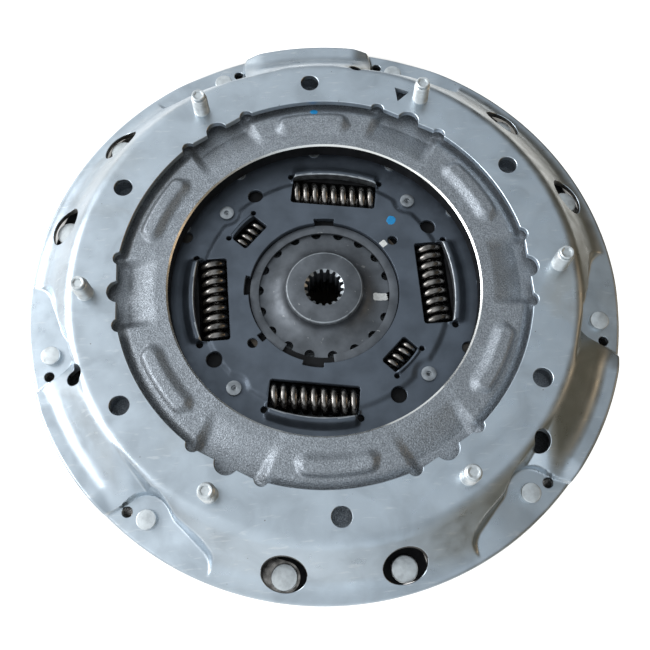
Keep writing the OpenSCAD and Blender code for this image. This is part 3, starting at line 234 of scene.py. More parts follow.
def zinc_sheet():
    """Satin zinc plating: clouds, rolling grain, scuffs, tan stains, specks, and painted shade in dark tan on
    the slopes that face +X.
    """
    colour = (0.53, 0.59, 0.645)
    material = new_material("zinc_sheet", colour, 0.95, 0.34)
    tree = material.node_tree
    texture = noise(material, 55, 5, distortion=0.6)
    clouds = clouded(material, texture, colour, (0.85, 1.0, 1.10), (0.32, 0.5, 0.7))
    stain = ranged(material, noise(material, 13, 5, distortion=1.2), 0.58, 0.72, 0.0, 0.35)
    stained = mixed(tree, stain, clouds, (0.46, 0.43, 0.36))
    scuff = ranged(material, noise(material, 120, 6, (1.0, 5.0, 1.0), 0.4), 0.60, 0.72, 0.0, 0.5)
    scuffed = mixed(tree, scuff, stained, (0.74, 0.77, 0.79))
    cells = tree.nodes.new("ShaderNodeTexVoronoi")
    cells.inputs["Scale"].default_value = 95
    tree.links.new(tree.nodes.new("ShaderNodeTexCoord").outputs["Object"], cells.inputs["Vector"])
    speck = ranged(material, cells.outputs["Distance"], 0.02, 0.035, 1.0, 0.0)
    specked = mixed(tree, speck, scuffed, (0.25, 0.25, 0.25))
    # Painted shade: slopes that face +X are mixed towards dark tan
    facing = tree.nodes.new("ShaderNodeSeparateXYZ")
    tree.links.new(tree.nodes.new("ShaderNodeNewGeometry").outputs["Normal"], facing.inputs["Vector"])
    right_facing_shade = ranged(material, facing.outputs["X"], 0.2, 0.62, 0.0, 0.75)
    plug(material, mixed(tree, right_facing_shade, specked, (0.34, 0.325, 0.275)), "Base Color")
    roughened(material, 160, 5, 0.26, 0.42)
    bump(material, noise(material, 500, 4), 0.012)
    bump(material, noise(material, 22, 2), 0.17)
    return material


def cast_iron(name, colour):
    """Blasted cast iron: fine grain over soft clouds."""
    material = new_material(name, colour, 0.85, 0.46)
    grain = clouded(material, noise(material, 1600, 3), colour, (0.66, 1.0, 1.45), (0.34, 0.5, 0.66))
    cloud = ranged(material, noise(material, 60, 4), 0.35, 0.65, 0.0, 0.4)
    dark = tuple(0.74 * c for c in colour)
    plug(material, mixed(material.node_tree, cloud, grain, dark), "Base Color")
    roughened(material, 900, 2, 0.38, 0.56, 0.35, 0.65)
    bump(material, noise(material, 1500, 3), 0.27)
    bump(material, noise(material, 110, 3), 0.3)
    return material


def hub_steel():
    """Machined and darkened hub steel, with a few worn specks."""
    colour = (0.135, 0.145, 0.16)
    material = new_material("hub_steel", colour, 0.8, 0.38)
    clouds = clouded(material, noise(material, 110, 5), colour, (0.75, 1.0, 1.25), (0.34, 0.5, 0.68))
    worn = ranged(material, noise(material, 420, 5, distortion=0.8), 0.68, 0.74, 0.0, 0.6)
    plug(material, mixed(material.node_tree, worn, clouds, (0.5, 0.5, 0.5)), "Base Color")
    roughened(material, 350, 4, 0.42, 0.58)
    bump(material, noise(material, 1200, 3), 0.015)
    return material


def friction_facing():
    """Moulded friction material with chopped brass and glass fibres."""
    colour = (0.075, 0.06, 0.045)
    material = new_material("friction_facing", colour, 0.0, 0.85)
    fibres = noise(material, 500, 3, (1.0, 6.0, 1.0), 1.5)
    plug(material, clouded(material, fibres, colour, (0.7, 1.0, 2.6), (0.4, 0.58, 0.7)), "Base Color")
    bump(material, fibres, 0.08)
    return material


def plain_finish(name, colour, metallic, roughness, clouds, rough, grain):
    """A material with one set of clouds, a wandering roughness and a fine grain.

    The clouds are a noise's scale and detail, the shades and their places. Rough is a noise's scale and
    detail and the lowest and highest roughness. The grain is a scale, a detail and a depth.
    """
    material = new_material(name, colour, metallic, roughness)
    if clouds:
        scale, detail, factors, places = clouds
        texture = noise(material, scale, detail)
        plug(material, clouded(material, texture, colour, factors, places), "Base Color")
    if rough:
        roughened(material, *rough)
    scale, detail, depth = grain
    bump(material, noise(material, scale, detail), depth)
    return material


PAINT_CLOUDS = (700, 4, (0.85, 1.0), (0.4, 0.6))
PLAIN_FINISHES = {
    # Galvanised studs and rivet heads, dull and slightly crusted
    "bright_steel": ((0.72, 0.75, 0.76), 0.9, 0.36, (260, 5, (0.8, 1.0, 1.12), (0.32, 0.5, 0.7)),
                     (420, 3, 0.28, 0.48), (900, 4, 0.05)),
    # Freshly turned edge of the casting
    "machined_iron": ((0.88, 0.87, 0.84), 1.0, 0.26, None, (300, 3, 0.2, 0.34), (2500, 2, 0.01)),
    # Phosphated blue-grey sheet of the discs' plates
    "plate_steel": ((0.105, 0.124, 0.152), 0.75, 0.42, (70, 5, (0.82, 1.0, 1.16), (0.34, 0.5, 0.68)),
                    (240, 4, 0.36, 0.52), (800, 3, 0.015)),
    # Mid grey rivet heads of the damper, and painted highlights in lighter steel on the lips' edges and on
    # the hub's chamfer and edge
    "dull_steel": ((0.34, 0.36, 0.38), 0.9, 0.36, (320, 5, (0.7, 1.0, 1.3), (0.34, 0.5, 0.7)),
                   (420, 3, 0.28, 0.45), (900, 4, 0.03)),
    # Near-black steel: painted shade on the casting's bore wall, legs and lugs, and on the blackened hub
    # flange and retainer plate deep inside the damper
    "oiled_steel": ((0.011, 0.011, 0.012), 0.3, 0.6, (160, 4, (0.6, 1.0, 1.5), (0.34, 0.5, 0.7)),
                    (300, 3, 0.5, 0.7), (900, 3, 0.01)),
    # Oil-blackened spring wire with narrow glints
    "spring_steel": ((0.26, 0.242, 0.225), 1.0, 0.2, (300, 4, (0.35, 1.0, 1.5), (0.34, 0.55, 0.72)),
                     (500, 3, 0.16, 0.3), (1500, 2, 0.01)),
    # Black-brown phosphated sheet of the cover, cage and lever springs, also painted shade on the walls of
    # the drive ring's slope openings
    "dark_sheet": ((0.085, 0.078, 0.07), 0.7, 0.45, (130, 5, (0.7, 1.0, 1.35), (0.34, 0.5, 0.68)),
                   (400, 4, 0.36, 0.56), (900, 3, 0.02)),
    # Ground steel of the bearing and of the springs' ends
    "bearing_steel": ((0.62, 0.63, 0.65), 1.0, 0.18, None, (300, 3, 0.14, 0.26), (2500, 2, 0.004)),
    # Brass of the facings' rivets and the ball cage
    "brass": ((0.62, 0.43, 0.18), 1.0, 0.34, None, (400, 3, 0.26, 0.45), (900, 3, 0.02)),
    # Black rubber of the bearing's seals
    "seal_rubber": ((0.018, 0.018, 0.02), 0.0, 0.6, None, None, (900, 3, 0.03)),
    # Dabs of marking paint
    "white_paint": ((0.72, 0.72, 0.70), 0.0, 0.5, PAINT_CLOUDS, None, (900, 3, 0.04)),
    "blue_paint": ((0.008, 0.25, 0.56), 0.0, 0.5, PAINT_CLOUDS, None, (900, 3, 0.04)),
}
FINISHES = {name: plain_finish(name, *values) for name, values in PLAIN_FINISHES.items()}
FINISHES["oiled_steel"].node_tree.nodes["Principled BSDF"].inputs["Specular IOR Level"].default_value = 0.2
FINISHES["zinc_sheet"] = zinc_sheet()
FINISHES["cast_iron"] = cast_iron("cast_iron", (0.325, 0.348, 0.378))
FINISHES["dark_iron"] = cast_iron("dark_iron", (0.10, 0.105, 0.11))
FINISHES["hub_steel"] = hub_steel()
FINISHES["friction_facing"] = friction_facing()


# Mesh building

PUNCH_RISE = 1.5
PUNCH_TOP = 8.0


def as_object(name, mesh, finishes, sharp_angle):
    """An object of a mesh, shaded smooth but for edges sharper than an angle in degrees."""
    mesh.update()
    mesh.shade_smooth()
    mesh.set_sharp_from_angle(angle=math.radians(sharp_angle))
    for finish in finishes:
        mesh.materials.append(FINISHES[finish])
    return placed(name, mesh)


def mesh_piece(name, points, faces, finishes, sharp_angle=32.0):
    """An object from points in millimetres and faces."""
    mesh = bpy.data.meshes.new(name)
    mesh.from_pydata((np.asarray(points, float) * MM).tolist(), [], faces)
    return as_object(name, mesh, finishes, sharp_angle)


def stands_for(made, node):
    """Puts a piece on the body of the CAD node that it replaces."""
    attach(made, frame["nodes"][node]["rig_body"])
    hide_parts(node)


def row_faces(first, second, columns, flip=False):
    """Quads between two rows of points that run right round; a row is given by its first point's number."""
    faces = []
    for j in range(columns):
        k = (j + 1) % columns
        quad = [first + j, first + k, second + k, second + j]
        faces.append(quad[::-1] if flip else quad)
    return faces


def ring_faces(rows, columns, first=0, flip=False):
    """Quads between neighbouring rows of points that run right round."""
    faces = []
    for i in range(rows - 1):
        faces.extend(row_faces(first + i * columns, first + (i + 1) * columns, columns, flip))
    return faces


def closed_rows(rows, flip=False):
    """Points and faces of a body of rows of points that run right round, closed at both ends."""
    columns = len(rows[0])
    start = list(range(columns))
    end = [(len(rows) - 1) * columns + j for j in start]
    ends = [start, end[::-1]] if flip else [start[::-1], end]
    return np.concatenate(rows), ring_faces(len(rows), columns, 0, flip) + ends


def joined(parts):
    """Points and faces of several parts as one."""
    points = []
    faces = []
    for part_points, part_faces in parts:
        first = len(points)
        points.extend(np.asarray(part_points).tolist())
        faces.extend([[i + first for i in face] for face in part_faces])
    return points, faces


def smooth_min(a, b, blend):
    """The lower of two heights, rounded where they cross."""
    share = np.clip(0.5 + 0.5 * (b - a) / blend, 0, 1)
    return b * (1 - share) + a * share - blend * share * (1 - share)


def smooth_max(a, b, blend):
    """The higher of two heights, rounded where they cross."""
    return -smooth_min(-a, -b, blend)


def smooth_step(low, high, value):
    """Zero below the low value, one above the high one, eased in between."""
    share = np.clip((value - low) / (high - low), 0, 1)
    return share * share * (3 - 2 * share)


def round_turn(count):
    """Evenly spaced angles right round, in radians."""
    return np.arange(count) * 2 * math.pi / count


def circle_row(radius, turn, height):
    """A row of points on a level circle."""
    return np.column_stack([radius * np.cos(turn), radius * np.sin(turn), np.full(len(turn), height)])


def revolved(profile, place, sides):
    """Points and faces of a closed profile of (radius, height) turned round an upright axis at a place."""
    turn = round_turn(sides)
    return closed_rows([circle_row(r, turn, z) + [*place, 0] for r, z in profile], True)


def polar(radius, angle):
    """X and Y at a radius and an angle in degrees, or at many of them."""
    turn = np.radians(angle)
    return radius * np.cos(turn), radius * np.sin(turn)


def turned(x, y, angle):
    """Places turned round the axis by an angle in degrees, one in a row."""
    lean = math.radians(angle)
    return np.column_stack([x * math.cos(lean) - y * math.sin(lean), x * math.sin(lean) + y * math.cos(lean)])


def nearest(angle, first, step):
    """Angle in degrees from the nearest of the angles that follow the first one at a step."""
    return (angle - first + step / 2) % step - step / 2


def polar_grid(radii, columns):
    """Radii and angles in degrees of a grid of points right round."""
    return np.meshgrid(radii, np.arange(columns) * 360 / columns, indexing="ij")


def surface(radius, angle, height):
    """Points of a surface given by its height at radii and angles."""
    return np.stack([*polar(radius, angle), height], axis=-1).reshape(-1, 3)


def outward(outline):
    """Directions that point out of an outline, at each of its points."""
    edge = np.roll(outline, -1, axis=0) - np.roll(outline, 1, axis=0)
    return np.column_stack([edge[:, 1], -edge[:, 0]]) / np.linalg.norm(edge, axis=1)[:, None]


def oval(radius, angle, along, across, count):
    """An oval outline round a place: its half sizes along the circle and across it."""
    turn = round_turn(count)
    return turned(radius + across * np.cos(turn), along * np.sin(turn), angle)


def sector_outline(inner, outer, start, end):
    """Outline of a piece of a flat ring between two angles."""
    turns = np.linspace(start, end, 24)
    return np.array([polar(outer, t) for t in turns] + [polar(inner, t) for t in reversed(turns)])


def block(outline, low, high, ease=0.6):
    """Points and faces of an upright block with a given outline, its upper and lower edges eased."""
    directions = outward(outline)
    return closed_rows([np.column_stack([outline - inset * directions, np.full(len(outline), z)])
                        for inset, z in ((ease, low), (0, low + ease), (0, high - ease), (ease, high))])


def punch(outline, chamfer, height, bottom=-60.0):
    """Points and faces of a cutter whose upper edge makes an even chamfer on a surface."""
    directions = outward(outline)
    rows = []
    for offset, rise in ((chamfer + PUNCH_RISE, PUNCH_RISE), (0.0, -chamfer)):
        moved = outline + offset * directions
        radius = np.minimum(np.hypot(moved[:, 0], moved[:, 1]), RIM_R)
        angle = np.degrees(np.arctan2(moved[:, 1], moved[:, 0]))
        rows.append(np.column_stack([moved, height(radius, angle) + rise]))
    rows.append(np.column_stack([outline, np.full(len(outline), bottom)]))
    rows.insert(0, rows[0] * [1, 1, 0] + [0, 0, PUNCH_TOP])
    return closed_rows(rows, True)


def cut(made, cutter, sharp_angle=32.0):
    """Takes the cutter's space out of a piece, removes the cutter and marks the sharp edges again."""
    modifier = made.modifiers.new("cut", "BOOLEAN")
    modifier.operation = "DIFFERENCE"
    modifier.solver = "MANIFOLD"
    modifier.object = cutter
    bpy.context.view_layer.update()
    graph = bpy.context.evaluated_depsgraph_get()
    mesh = bpy.data.meshes.new_from_object(made.evaluated_get(graph), depsgraph=graph)
    made.modifiers.clear()
    made.data = mesh
    bpy.data.objects.remove(cutter)
    mesh.set_sharp_from_angle(angle=math.radians(sharp_angle))


# Drive ring

BEND_R = 121.0
FLANGE_R = 139.5
RIM_DROP = 20.0
RIM_ROUND = 1.3
BRIDGE_DROP = 16.3
POCKET_DROP = 21.0
LEDGE_TILT = 0.06
SHEET = 3.0
SLOPE = RIM_DROP / (FLANGE_R - BEND_R)
POCKET_CIRCLE = 135.0
POCKET_ANGLE = 20.0
PAIR_ANGLES = (90, 210, 330)
LUG_ANGLES = (30, 150, 270)
OPENING_R = 98.5
TAB_R = 97.6
STUD_CIRCLE = 112
CAGE_RIVET_CIRCLE = 134.8
CAGE_RIVET_ANGLE = 11.4

# Slope openings: their circle's radius, and their half sizes along and across it
SLOPE_OPENING = (134, 10.1, 7.3)

# Sides of a rivet pocket: a direction square to each and a point on it
NEAR_SIDE = ((-0.492, -0.869), (-8, -7))
INNER_SIDE = ((-0.990, 0.142), (-9.2, -2))
TAIL_END = ((-0.35, 0.94), (-3.5, 35.5))
POCKET_LEAN = 0.364
POCKET_CORNER_R = 9
POCKET_R = 11
SHELF_HEIGHT = 3.5


def beyond(side, x, y):
    """How far a place lies beyond a pocket's side."""
    (side_x, side_y), (point_x, point_y) = side
    return side_x * (x - point_x) + side_y * (y - point_y)


def pocket_edge(radius, angle):
    """How far a place lies outside the rivet pocket and along it, and the shelf's height over the floor.

    The pocket is round beside the rivet, open to the rim, and runs out in a narrow tail. The shelf is the
    gentle fall from the bridge to the pocket.
    """
    x, y = polar(radius, np.abs(nearest(angle, PAIR_ANGLES[0], 120)) - POCKET_ANGLE)
    x = x - POCKET_CIRCLE
    near = beyond(NEAR_SIDE, x, y)
    inner = beyond(INNER_SIDE, x, y)
    a = near + POCKET_CORNER_R
    b = inner + POCKET_CORNER_R
    corner = np.maximum(a * a + b * b - 2 * POCKET_LEAN * a * b, 0) / (1 - POCKET_LEAN * POCKET_LEAN)
    at_corner = (a > POCKET_LEAN * b) & (b > POCKET_LEAN * a)
    wedge = np.where(at_corner, np.sqrt(corner) - POCKET_CORNER_R, np.maximum(near, inner))
    beside = smooth_min(wedge, np.hypot(x, y) - POCKET_R, 3)
    shelf = SHELF_HEIGHT + smooth_max(smooth_max(0.9 * near, 5 * inner, 5), 2.5 * (y + 4), 5)
    return smooth_max(beside, beyond(TAIL_END, x, y), 5), y, shelf


def sheet_height(radius, angle):
    """Height of the drive ring's upper face, in millimetres."""
    outside, along, shelf = pocket_edge(radius, angle)
    steep = 10 - 6 * smooth_step(2, 28, along)
    floor = -POCKET_DROP + (POCKET_DROP - RIM_DROP) * smooth_step(4, 26, along)
    bridge = 1 - smooth_step(9.5, 16, np.abs(nearest(angle, PAIR_ANGLES[0], 120)))
    level = -RIM_DROP + (RIM_DROP - BRIDGE_DROP) * bridge
    level = level + (floor - level) * smooth_step(0.5, -1.0, outside)
    level = level - LEDGE_TILT * (radius - FLANGE_R + 0.5) * (1 - bridge)
    slope = -(radius - BEND_R) * SLOPE
    height = smooth_min(smooth_min(0 * slope, slope, 3.4), floor + shelf, 6)
    height = smooth_min(height, floor + steep * outside, 3)
    height = smooth_max(height, level, 4.5)
    edge = np.clip((radius - RIM_R + RIM_ROUND) / RIM_ROUND, 0, 1)
    return height - RIM_ROUND * (1 - np.sqrt(1 - edge * edge))


def under_height(radius, angle):
    """Height of the sheet's lower face: a sheet's thickness below the upper one, square to it."""
    x, y = polar(radius, angle)
    lowest = sheet_height(radius, angle) - SHEET
    for share in (0.55, 0.9):
        for turn in range(0, 360, 45):
            dx, dy = polar(share * SHEET, turn)
            near_r = np.minimum(np.hypot(x + dx, y + dy), RIM_R)
            near = sheet_height(near_r, np.degrees(np.arctan2(y + dy, x + dx)))
            lowest = np.minimum(lowest, near - SHEET * math.sqrt(1 - share * share))
    return np.maximum(lowest, RING_BOTTOM)


def opening_outline():
    """Outline of the flat flange's opening, with its straight tabs and round notches."""
    angles = np.arange(0, 360, 0.2)
    apart = nearest(angles, 0, 60)
    outline = np.full(len(angles), OPENING_R)
    tab = np.abs(apart) < 10
    outline[tab] = TAB_R / np.cos(np.radians(apart[tab]))
    for notch_angle, circle, notch_r in ((0.0, 96.7, 5.4), (10.0, TAB_R, 3.3), (-10.0, TAB_R, 3.3)):
        turn = np.radians(apart - notch_angle)
        inside = notch_r ** 2 - (circle * np.sin(turn)) ** 2
        reach = np.where(inside > 0, circle * np.cos(turn) + np.sqrt(np.maximum(inside, 0)), 0)
        outline = np.maximum(outline, reach)
    return np.column_stack(polar(outline, angles))


def ring_openings():
    """Outlines of all the drive ring's holes, from its middle opening to the small key mark."""
    outlines = [opening_outline()]
    outlines += [oval(110, 30 + 60 * i, 4.5, 4.5, 48) for i in range(6)]
    for centre in PAIR_ANGLES:
        outlines.append(oval(123.5, centre - 12, 4.6, 4.6, 48))
        outlines.extend(oval(138, centre + side * 16, 2.4, 2.4, 32) for side in (-1, 1))
    circle, along, across = SLOPE_OPENING
    for centre in LUG_ANGLES:
        outlines.extend(oval(circle, centre + side * CAGE_RIVET_ANGLE, along, across, 72) for side in (-1, 1))
    mark = np.array([(3.4, -3.6), (3.4, 4.0), (-3.8, 0.0)]) + [109.5, 0]
    return [*outlines, turned(*mark.T, 65.2)]


def drive_ring():
    """The stamped ring: flat flange, shoulder, slope, rivet pockets and bridges, with all its holes."""
    columns = 1680
    rim = RIM_R - RIM_ROUND
    radii = np.concatenate([[93.0, 101.0, 109.0], np.arange(115.0, 121.0, 1.0), np.arange(121.0, 135.0, 0.35),
                            np.arange(135.0, rim - 0.1, 0.6),
                            rim + RIM_ROUND * np.sin(np.radians([0, 20, 40, 60, 80, 90]))])
    radius, angle = polar_grid(radii, columns)
    top = surface(radius, angle, sheet_height(radius, angle))
    low = surface(radius, angle, under_height(radius, angle))
    rows = len(radii)
    total = rows * columns
    outer = total - columns
    faces = ring_faces(rows, columns, 0, True) + ring_faces(rows, columns, total, False)
    faces += row_faces(0, total, columns) + row_faces(outer, total + outer, columns, True)
    ring = mesh_piece("drive_ring_sheet", np.concatenate([top, low]), faces, ["zinc_sheet", "dark_sheet"], 40)
    cutters = [punch(outline, 0.25, sheet_height) for outline in ring_openings()]
    cut(ring, mesh_piece("ring_cutter", *joined(cutters), []))
    # Painted shade: the steep walls of the slope openings take the dark sheet finish
    circle, along, across = SLOPE_OPENING
    for polygon in ring.data.polygons:
        x, y, z = polygon.center / MM
        reach = math.hypot(x, y)
        turn = abs(nearest(math.degrees(math.atan2(y, x)), LUG_ANGLES[0], 120)) - CAGE_RIVET_ANGLE
        out, beside = polar(reach, turn)
        if math.hypot((out - circle) / across, beside / along) < 1.055 and polygon.normal.z < 0.55:
            polygon.material_index = 1
    stands_for(ring, "drive_ring")


drive_ring()


# Fasteners


def rivets(name, node, places, head_r, heads, shank_r, tail_r, tail_low, tail_high, round_r):
    """Solid rivets with rounded heads; the heads' lowest and highest heights are given per place."""
    parts = []
    for place, (low, high) in zip(places, heads):
        leans = [math.radians(t) for t in (0, 22, 45, 67, 90)]
        profile = [(head_r - round_r * (1 - math.sin(t)), high - round_r * (1 - math.cos(t))) for t in leans]
        profile += [(head_r, low), (shank_r, low), (shank_r, tail_high), (tail_r, tail_high),
                    (tail_r, tail_low + round_r), (tail_r - round_r, tail_low)]
        parts.append(revolved(profile, place, 40))
    stands_for(mesh_piece(name, *joined(parts), ["bright_steel"], 38), node)


def flange_rivets():
    """Six rivets in the drive ring's pockets."""
    low, high = mm_box("flange_rivets")
    places = [polar(POCKET_CIRCLE, c + s * POCKET_ANGLE) for c in PAIR_ANGLES for s in (-1, 1)]
    rivets("pocket_rivets", "flange_rivets", places, 4.6, [(-POCKET_DROP, high[2])] * 6, 3.0, 4.6,
           low[2], low[2] + 2.5, 0.45)


def cage_rivets():
    """Six big rivets seen through the slope's openings."""
    low, high = mm_box("pull_cage_rivets")
    places = [polar(CAGE_RIVET_CIRCLE, c + s * CAGE_RIVET_ANGLE) for c in LUG_ANGLES for s in (-1, 1)]
    heads = [(top - 3.0, top) for top in (high[2], high[2] - 1.0)] * 3
    rivets("cage_rivets", "pull_cage_rivets", places, 6.0, heads, 3.5, 4.5, low[2], low[2] + 2.0, 0.5)


def studs():
    """Six flywheel studs: a collar, a faint thread and a drive socket in the end."""
    low, high = mm_box("flywheel_studs")
    top = high[2]
    turn = round_turn(48)
    pitch = 1.25
    profile = [(5.5, low[2]), (5.5, -SHEET - 0.1), (4.05, -SHEET), (4.05, 0.4)]
    heights = np.arange(0.6, top - 2.6, pitch / 6)
    profile += [(3.82 + 0.18 * math.cos(2 * math.pi * z / pitch), z) for z in heights]
    profile += [(3.75, top - 2.4), (3.3, top - 2.0), (3.3, top - 0.4), (2.9, top)]
    star = 1.95 + 0.10 * np.cos(6 * turn)
    profile += [(1.12 * star, top), (star, top - 0.15), (0.96 * star, top - 0.7)]
    points, faces = closed_rows([circle_row(r, turn, z) for r, z in profile])
    parts = [(points + [*polar(STUD_CIRCLE, 60 * i), 0], faces) for i in range(6)]
    stands_for(mesh_piece("studs", *joined(parts), ["bright_steel"], 38), "flywheel_studs")


flange_rivets()
cage_rivets()
studs()


# First pressure plate

BORE_R = 74.4
CASTING_R = 119.0
CAST_FACE = -3.4
CAST_BACK = -14.0
BOSS_CIRCLE = 88.5
BOSS_HALF = 13.2
BOSS_HEIGHT = 2.4
VALLEY_DEPTH = 4.0

# Radius and height of the recess behind the bore
CAST_STEP = (82.0, -12.0)


def casting_height(radius, angle):
    """Height of the casting's front: raised oblong bosses, valleys that fall outwards and an outer shelf."""
    height = CAST_FACE - smooth_step(93.5, 99.0, radius) * 2.0
    arc = np.abs(np.radians(nearest(angle, 0, 60))) * radius
    fall = np.clip((radius - 80.5) / 13.5, 0, 1) * VALLEY_DEPTH
    side = smooth_step(18.6, 13.0, arc)
    height = smooth_min(height, CAST_FACE - fall, 0.9) * side + height * (1 - side)
    along = np.maximum(np.abs(np.radians(nearest(angle, 30, 60))) * 88 - BOSS_HALF, 0)
    reach = np.hypot(along, radius - BOSS_CIRCLE)
    steep = 0.62 + 0.5 * smooth_step(86.5, 90.5, radius)
    boss = CAST_FACE + BOSS_HEIGHT - steep * smooth_max(reach - 2.6, 0 * reach, 0.8)
    return smooth_max(height, boss, 0.7)


def pressure_plate():
    """Cast ring with a turned bore, clearance holes, three legs and their lugs."""
    columns = 900
    radii = np.concatenate([[BORE_R, BORE_R + 0.8], np.arange(BORE_R + 1.4, 101.0, 0.45),
                            [108.0, 113.0, CASTING_R]])
    radius, angle = polar_grid(radii, columns)
    height = casting_height(radius, angle)
    height[0] = CAST_FACE - 0.8
    step_r, step = CAST_STEP
    rows = [surface(radius, angle, height)]
    rows += [circle_row(r, round_turn(columns), z)
             for r, z in ((CASTING_R, CAST_BACK), (step_r, CAST_BACK), (step_r, step), (BORE_R, step))]
    count = len(radii) + 4
    faces = ring_faces(count, columns, 0, True) + row_faces((count - 1) * columns, 0, columns, True)
    casting = mesh_piece("pressure_plate_casting", np.concatenate(rows), faces,
                         ["cast_iron", "machined_iron", "oiled_steel"])
    holes = [block(oval(110, 30 + 60 * i, 6.0, 6.0, 32), CAST_BACK + 2, 2.0, 0.1) for i in range(6)]
    cut(casting, mesh_piece("casting_holes", *joined(holes), []))
    # The turned edge takes bright machined iron; below it the bore wall is near-black as painted shade
    for polygon in casting.data.polygons:
        x, y, z = polygon.center / MM
        reach = math.hypot(x, y)
        if reach < BORE_R + 0.75 and z > CAST_FACE - 0.85:
            polygon.material_index = 1
        elif reach < BORE_R + 0.1:
            polygon.material_index = 2
    stands_for(casting, "k1_pressure_plate")
    # Painted shade: the legs and lugs are near-black
    lugs = []
    for centre in LUG_ANGLES:
        lugs.append(block(sector_outline(117.5, 124.5, centre - 16, centre + 16), -31.0, -9.5))
        lugs.append(block(sector_outline(123.5, 141.0, centre - 16, centre + 16), -31.0, -25.5))
    stands_for(mesh_piece("pressure_plate_lugs", *joined(lugs), ["oiled_steel"]), "k1_pressure_plate")


pressure_plate()


# Springs

LARGE_ANGLES = (1, 81, 181, 261)
SMALL_ANGLES = (136, 314)


def coil(length, outer_r, wire_r, turns):
    """Points and faces of a helical spring along Z, its end coils closed and ground flat."""
    sides = 14
    steps = 28
    closed = 0.8
    count = int(turns * steps)
    share = np.arange(count + 1) / steps
    free = turns - 2 * closed
    height = np.where(
        share < closed, wire_r * 0.75 + share / closed * 2 * wire_r,
        np.where(share > turns - closed, length - wire_r * 0.75 - (turns - share) / closed * 2 * wire_r,
                 2.75 * wire_r + (share - closed) / free * (length - 5.5 * wire_r)))
    turn = 2 * math.pi * share[:, None]
    side = round_turn(sides)
    r = outer_r - wire_r + wire_r * np.cos(side)
    z = np.clip(height[:, None] + wire_r * np.sin(side), 0, length)
    return closed_rows(np.stack([r * np.cos(turn), r * np.sin(turn), z], axis=-1), True)


def springs(name, node, angles, offset, outer_r, wire_r, length, turns):
    """Equal springs in their windows, with bright ground ends."""
    points, faces = coil(length, outer_r, wire_r, turns)
    x, y, z = points.T
    height = sum(mm_box(node)[i][2] for i in (0, 1)) / 2
    ground = [min(z[face]) > length - 0.02 or max(z[face]) < 0.02 for face in faces]
    for angle in angles:
        laid = np.column_stack([turned(offset + x, length / 2 - z, angle), height + y])
        made = mesh_piece(f"{name}_{angle}", laid, faces, ["spring_steel", "bearing_steel"], 50)
        made.data.polygons.foreach_set("material_index", np.array(ground, dtype=np.int32))
        stands_for(made, node)
        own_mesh(made)


springs("large_damper_springs", "k1_large_springs", LARGE_ANGLES, 54.0, 7.2, 1.75, 42.4, 8.5)
springs("small_damper_springs", "k1_small_springs", SMALL_ANGLES, 48.8, 4.5, 1.3, 16.0, 3.8)
springs("rear_damper_springs", "k2_springs", (0, 90, 180, 270), 47.5, 6.0, 1.5, 30.0, 7)


# First disc's damper plate and hub

STOP_ANGLES = (45.5, 135.5, 225.5, 315.5)
STOP_R = 65.0
COVER_LOW = mm_box("k1_cover_plate")[0][2]
COVER_SHEET = 2.0
COVER_STEP = 1.2
COVER_LIP = 3.0
COVER_BORE_R = 36.9
COVER_R = 82.0

# Spring windows: inner and outer side, half length, and how far the outer side bows
LARGE_WINDOW = (46.9, 60.6, 21.4, 3.0)
SMALL_WINDOW = (44.3, 53.0, 8.2, 1.0)


def bow_circle(window):
    """Distance and radius of the circle that a window's outer side follows."""
    inner, edge, half, bow = window
    radius = (half * half + bow * bow) / (2 * bow)
    return edge + bow - radius, radius


def lip_share(radius, angle, window, spring_angles, width):
    """How far the rolled lip outside a spring's window stands up, from zero to one."""
    centre, bow_r = bow_circle(window)
    half = window[2]
    share = np.zeros_like(radius)
    for spring_angle in spring_angles:
        x, y = polar(radius, angle - spring_angle)
        past = np.hypot(x - centre, y) - bow_r
        here = (x > 0) * smooth_step(width, 0.25 * width, past) * smooth_step(-3.0, -1.0, past)
        share = np.maximum(share, here * smooth_step(half + 1.5, half - 1.5, np.abs(y)))
    return share


def cover_height(radius, angle):
    """Height of the damper's cover plate: a raised inner land, rivet seats and lips beside the springs."""
    radius = np.asarray(radius, float)
    x, y = polar(radius, angle)
    outside = radius - 61.0
    for stop_angle in STOP_ANGLES:
        stop_x, stop_y = polar(STOP_R, stop_angle)
        outside = smooth_max(outside, 6.6 - np.hypot(x - stop_x, y - stop_y), 1.5)
    land = COVER_STEP * smooth_step(1.7, -1.7, outside)
    large = lip_share(radius, angle, LARGE_WINDOW, LARGE_ANGLES, 6.4) * COVER_LIP
    small = lip_share(radius, angle, SMALL_WINDOW, SMALL_ANGLES, 3.0) * (COVER_STEP + 1.2)
    return COVER_LOW + COVER_SHEET + np.maximum(np.maximum(land, large), small)


def window_outline(angle, window, corner=1.3):
    """Outline of a spring's window, with its bowed outer side."""
    inner, edge, half, bow = window
    centre, bow_r = bow_circle(window)
    bowed = [(centre + math.sqrt(bow_r ** 2 - y * y), y) for y in np.linspace(-half + 0.4, half - 0.4, 25)]
    points = [(inner + corner, -half), (edge - corner, -half), (edge - 0.2, -half + 0.1), *bowed,
              (edge - 0.2, half - 0.1), (edge - corner, half), (inner + corner, half),
              (inner + 0.4, half - 0.4), (inner, half - corner), (inner, -half + corner),
              (inner + 0.4, -half + 0.4)]
    return turned(*np.array(points).T, angle)


def on_lip_highlight(x, y, window, spring_angles):
    """Whether a place lies on the edge of a lip, which is painted in lighter steel as a highlight."""
    centre, bow_r = bow_circle(window)
    for spring_angle in spring_angles:
        lean = math.radians(spring_angle)
        out = x * math.cos(lean) + y * math.sin(lean)
        along = -x * math.sin(lean) + y * math.cos(lean)
        past = math.hypot(out - centre, along) - bow_r
        if out > 0 and abs(along) < window[2] - 0.5 and -0.2 < past < 0.75:
            return True
    return False


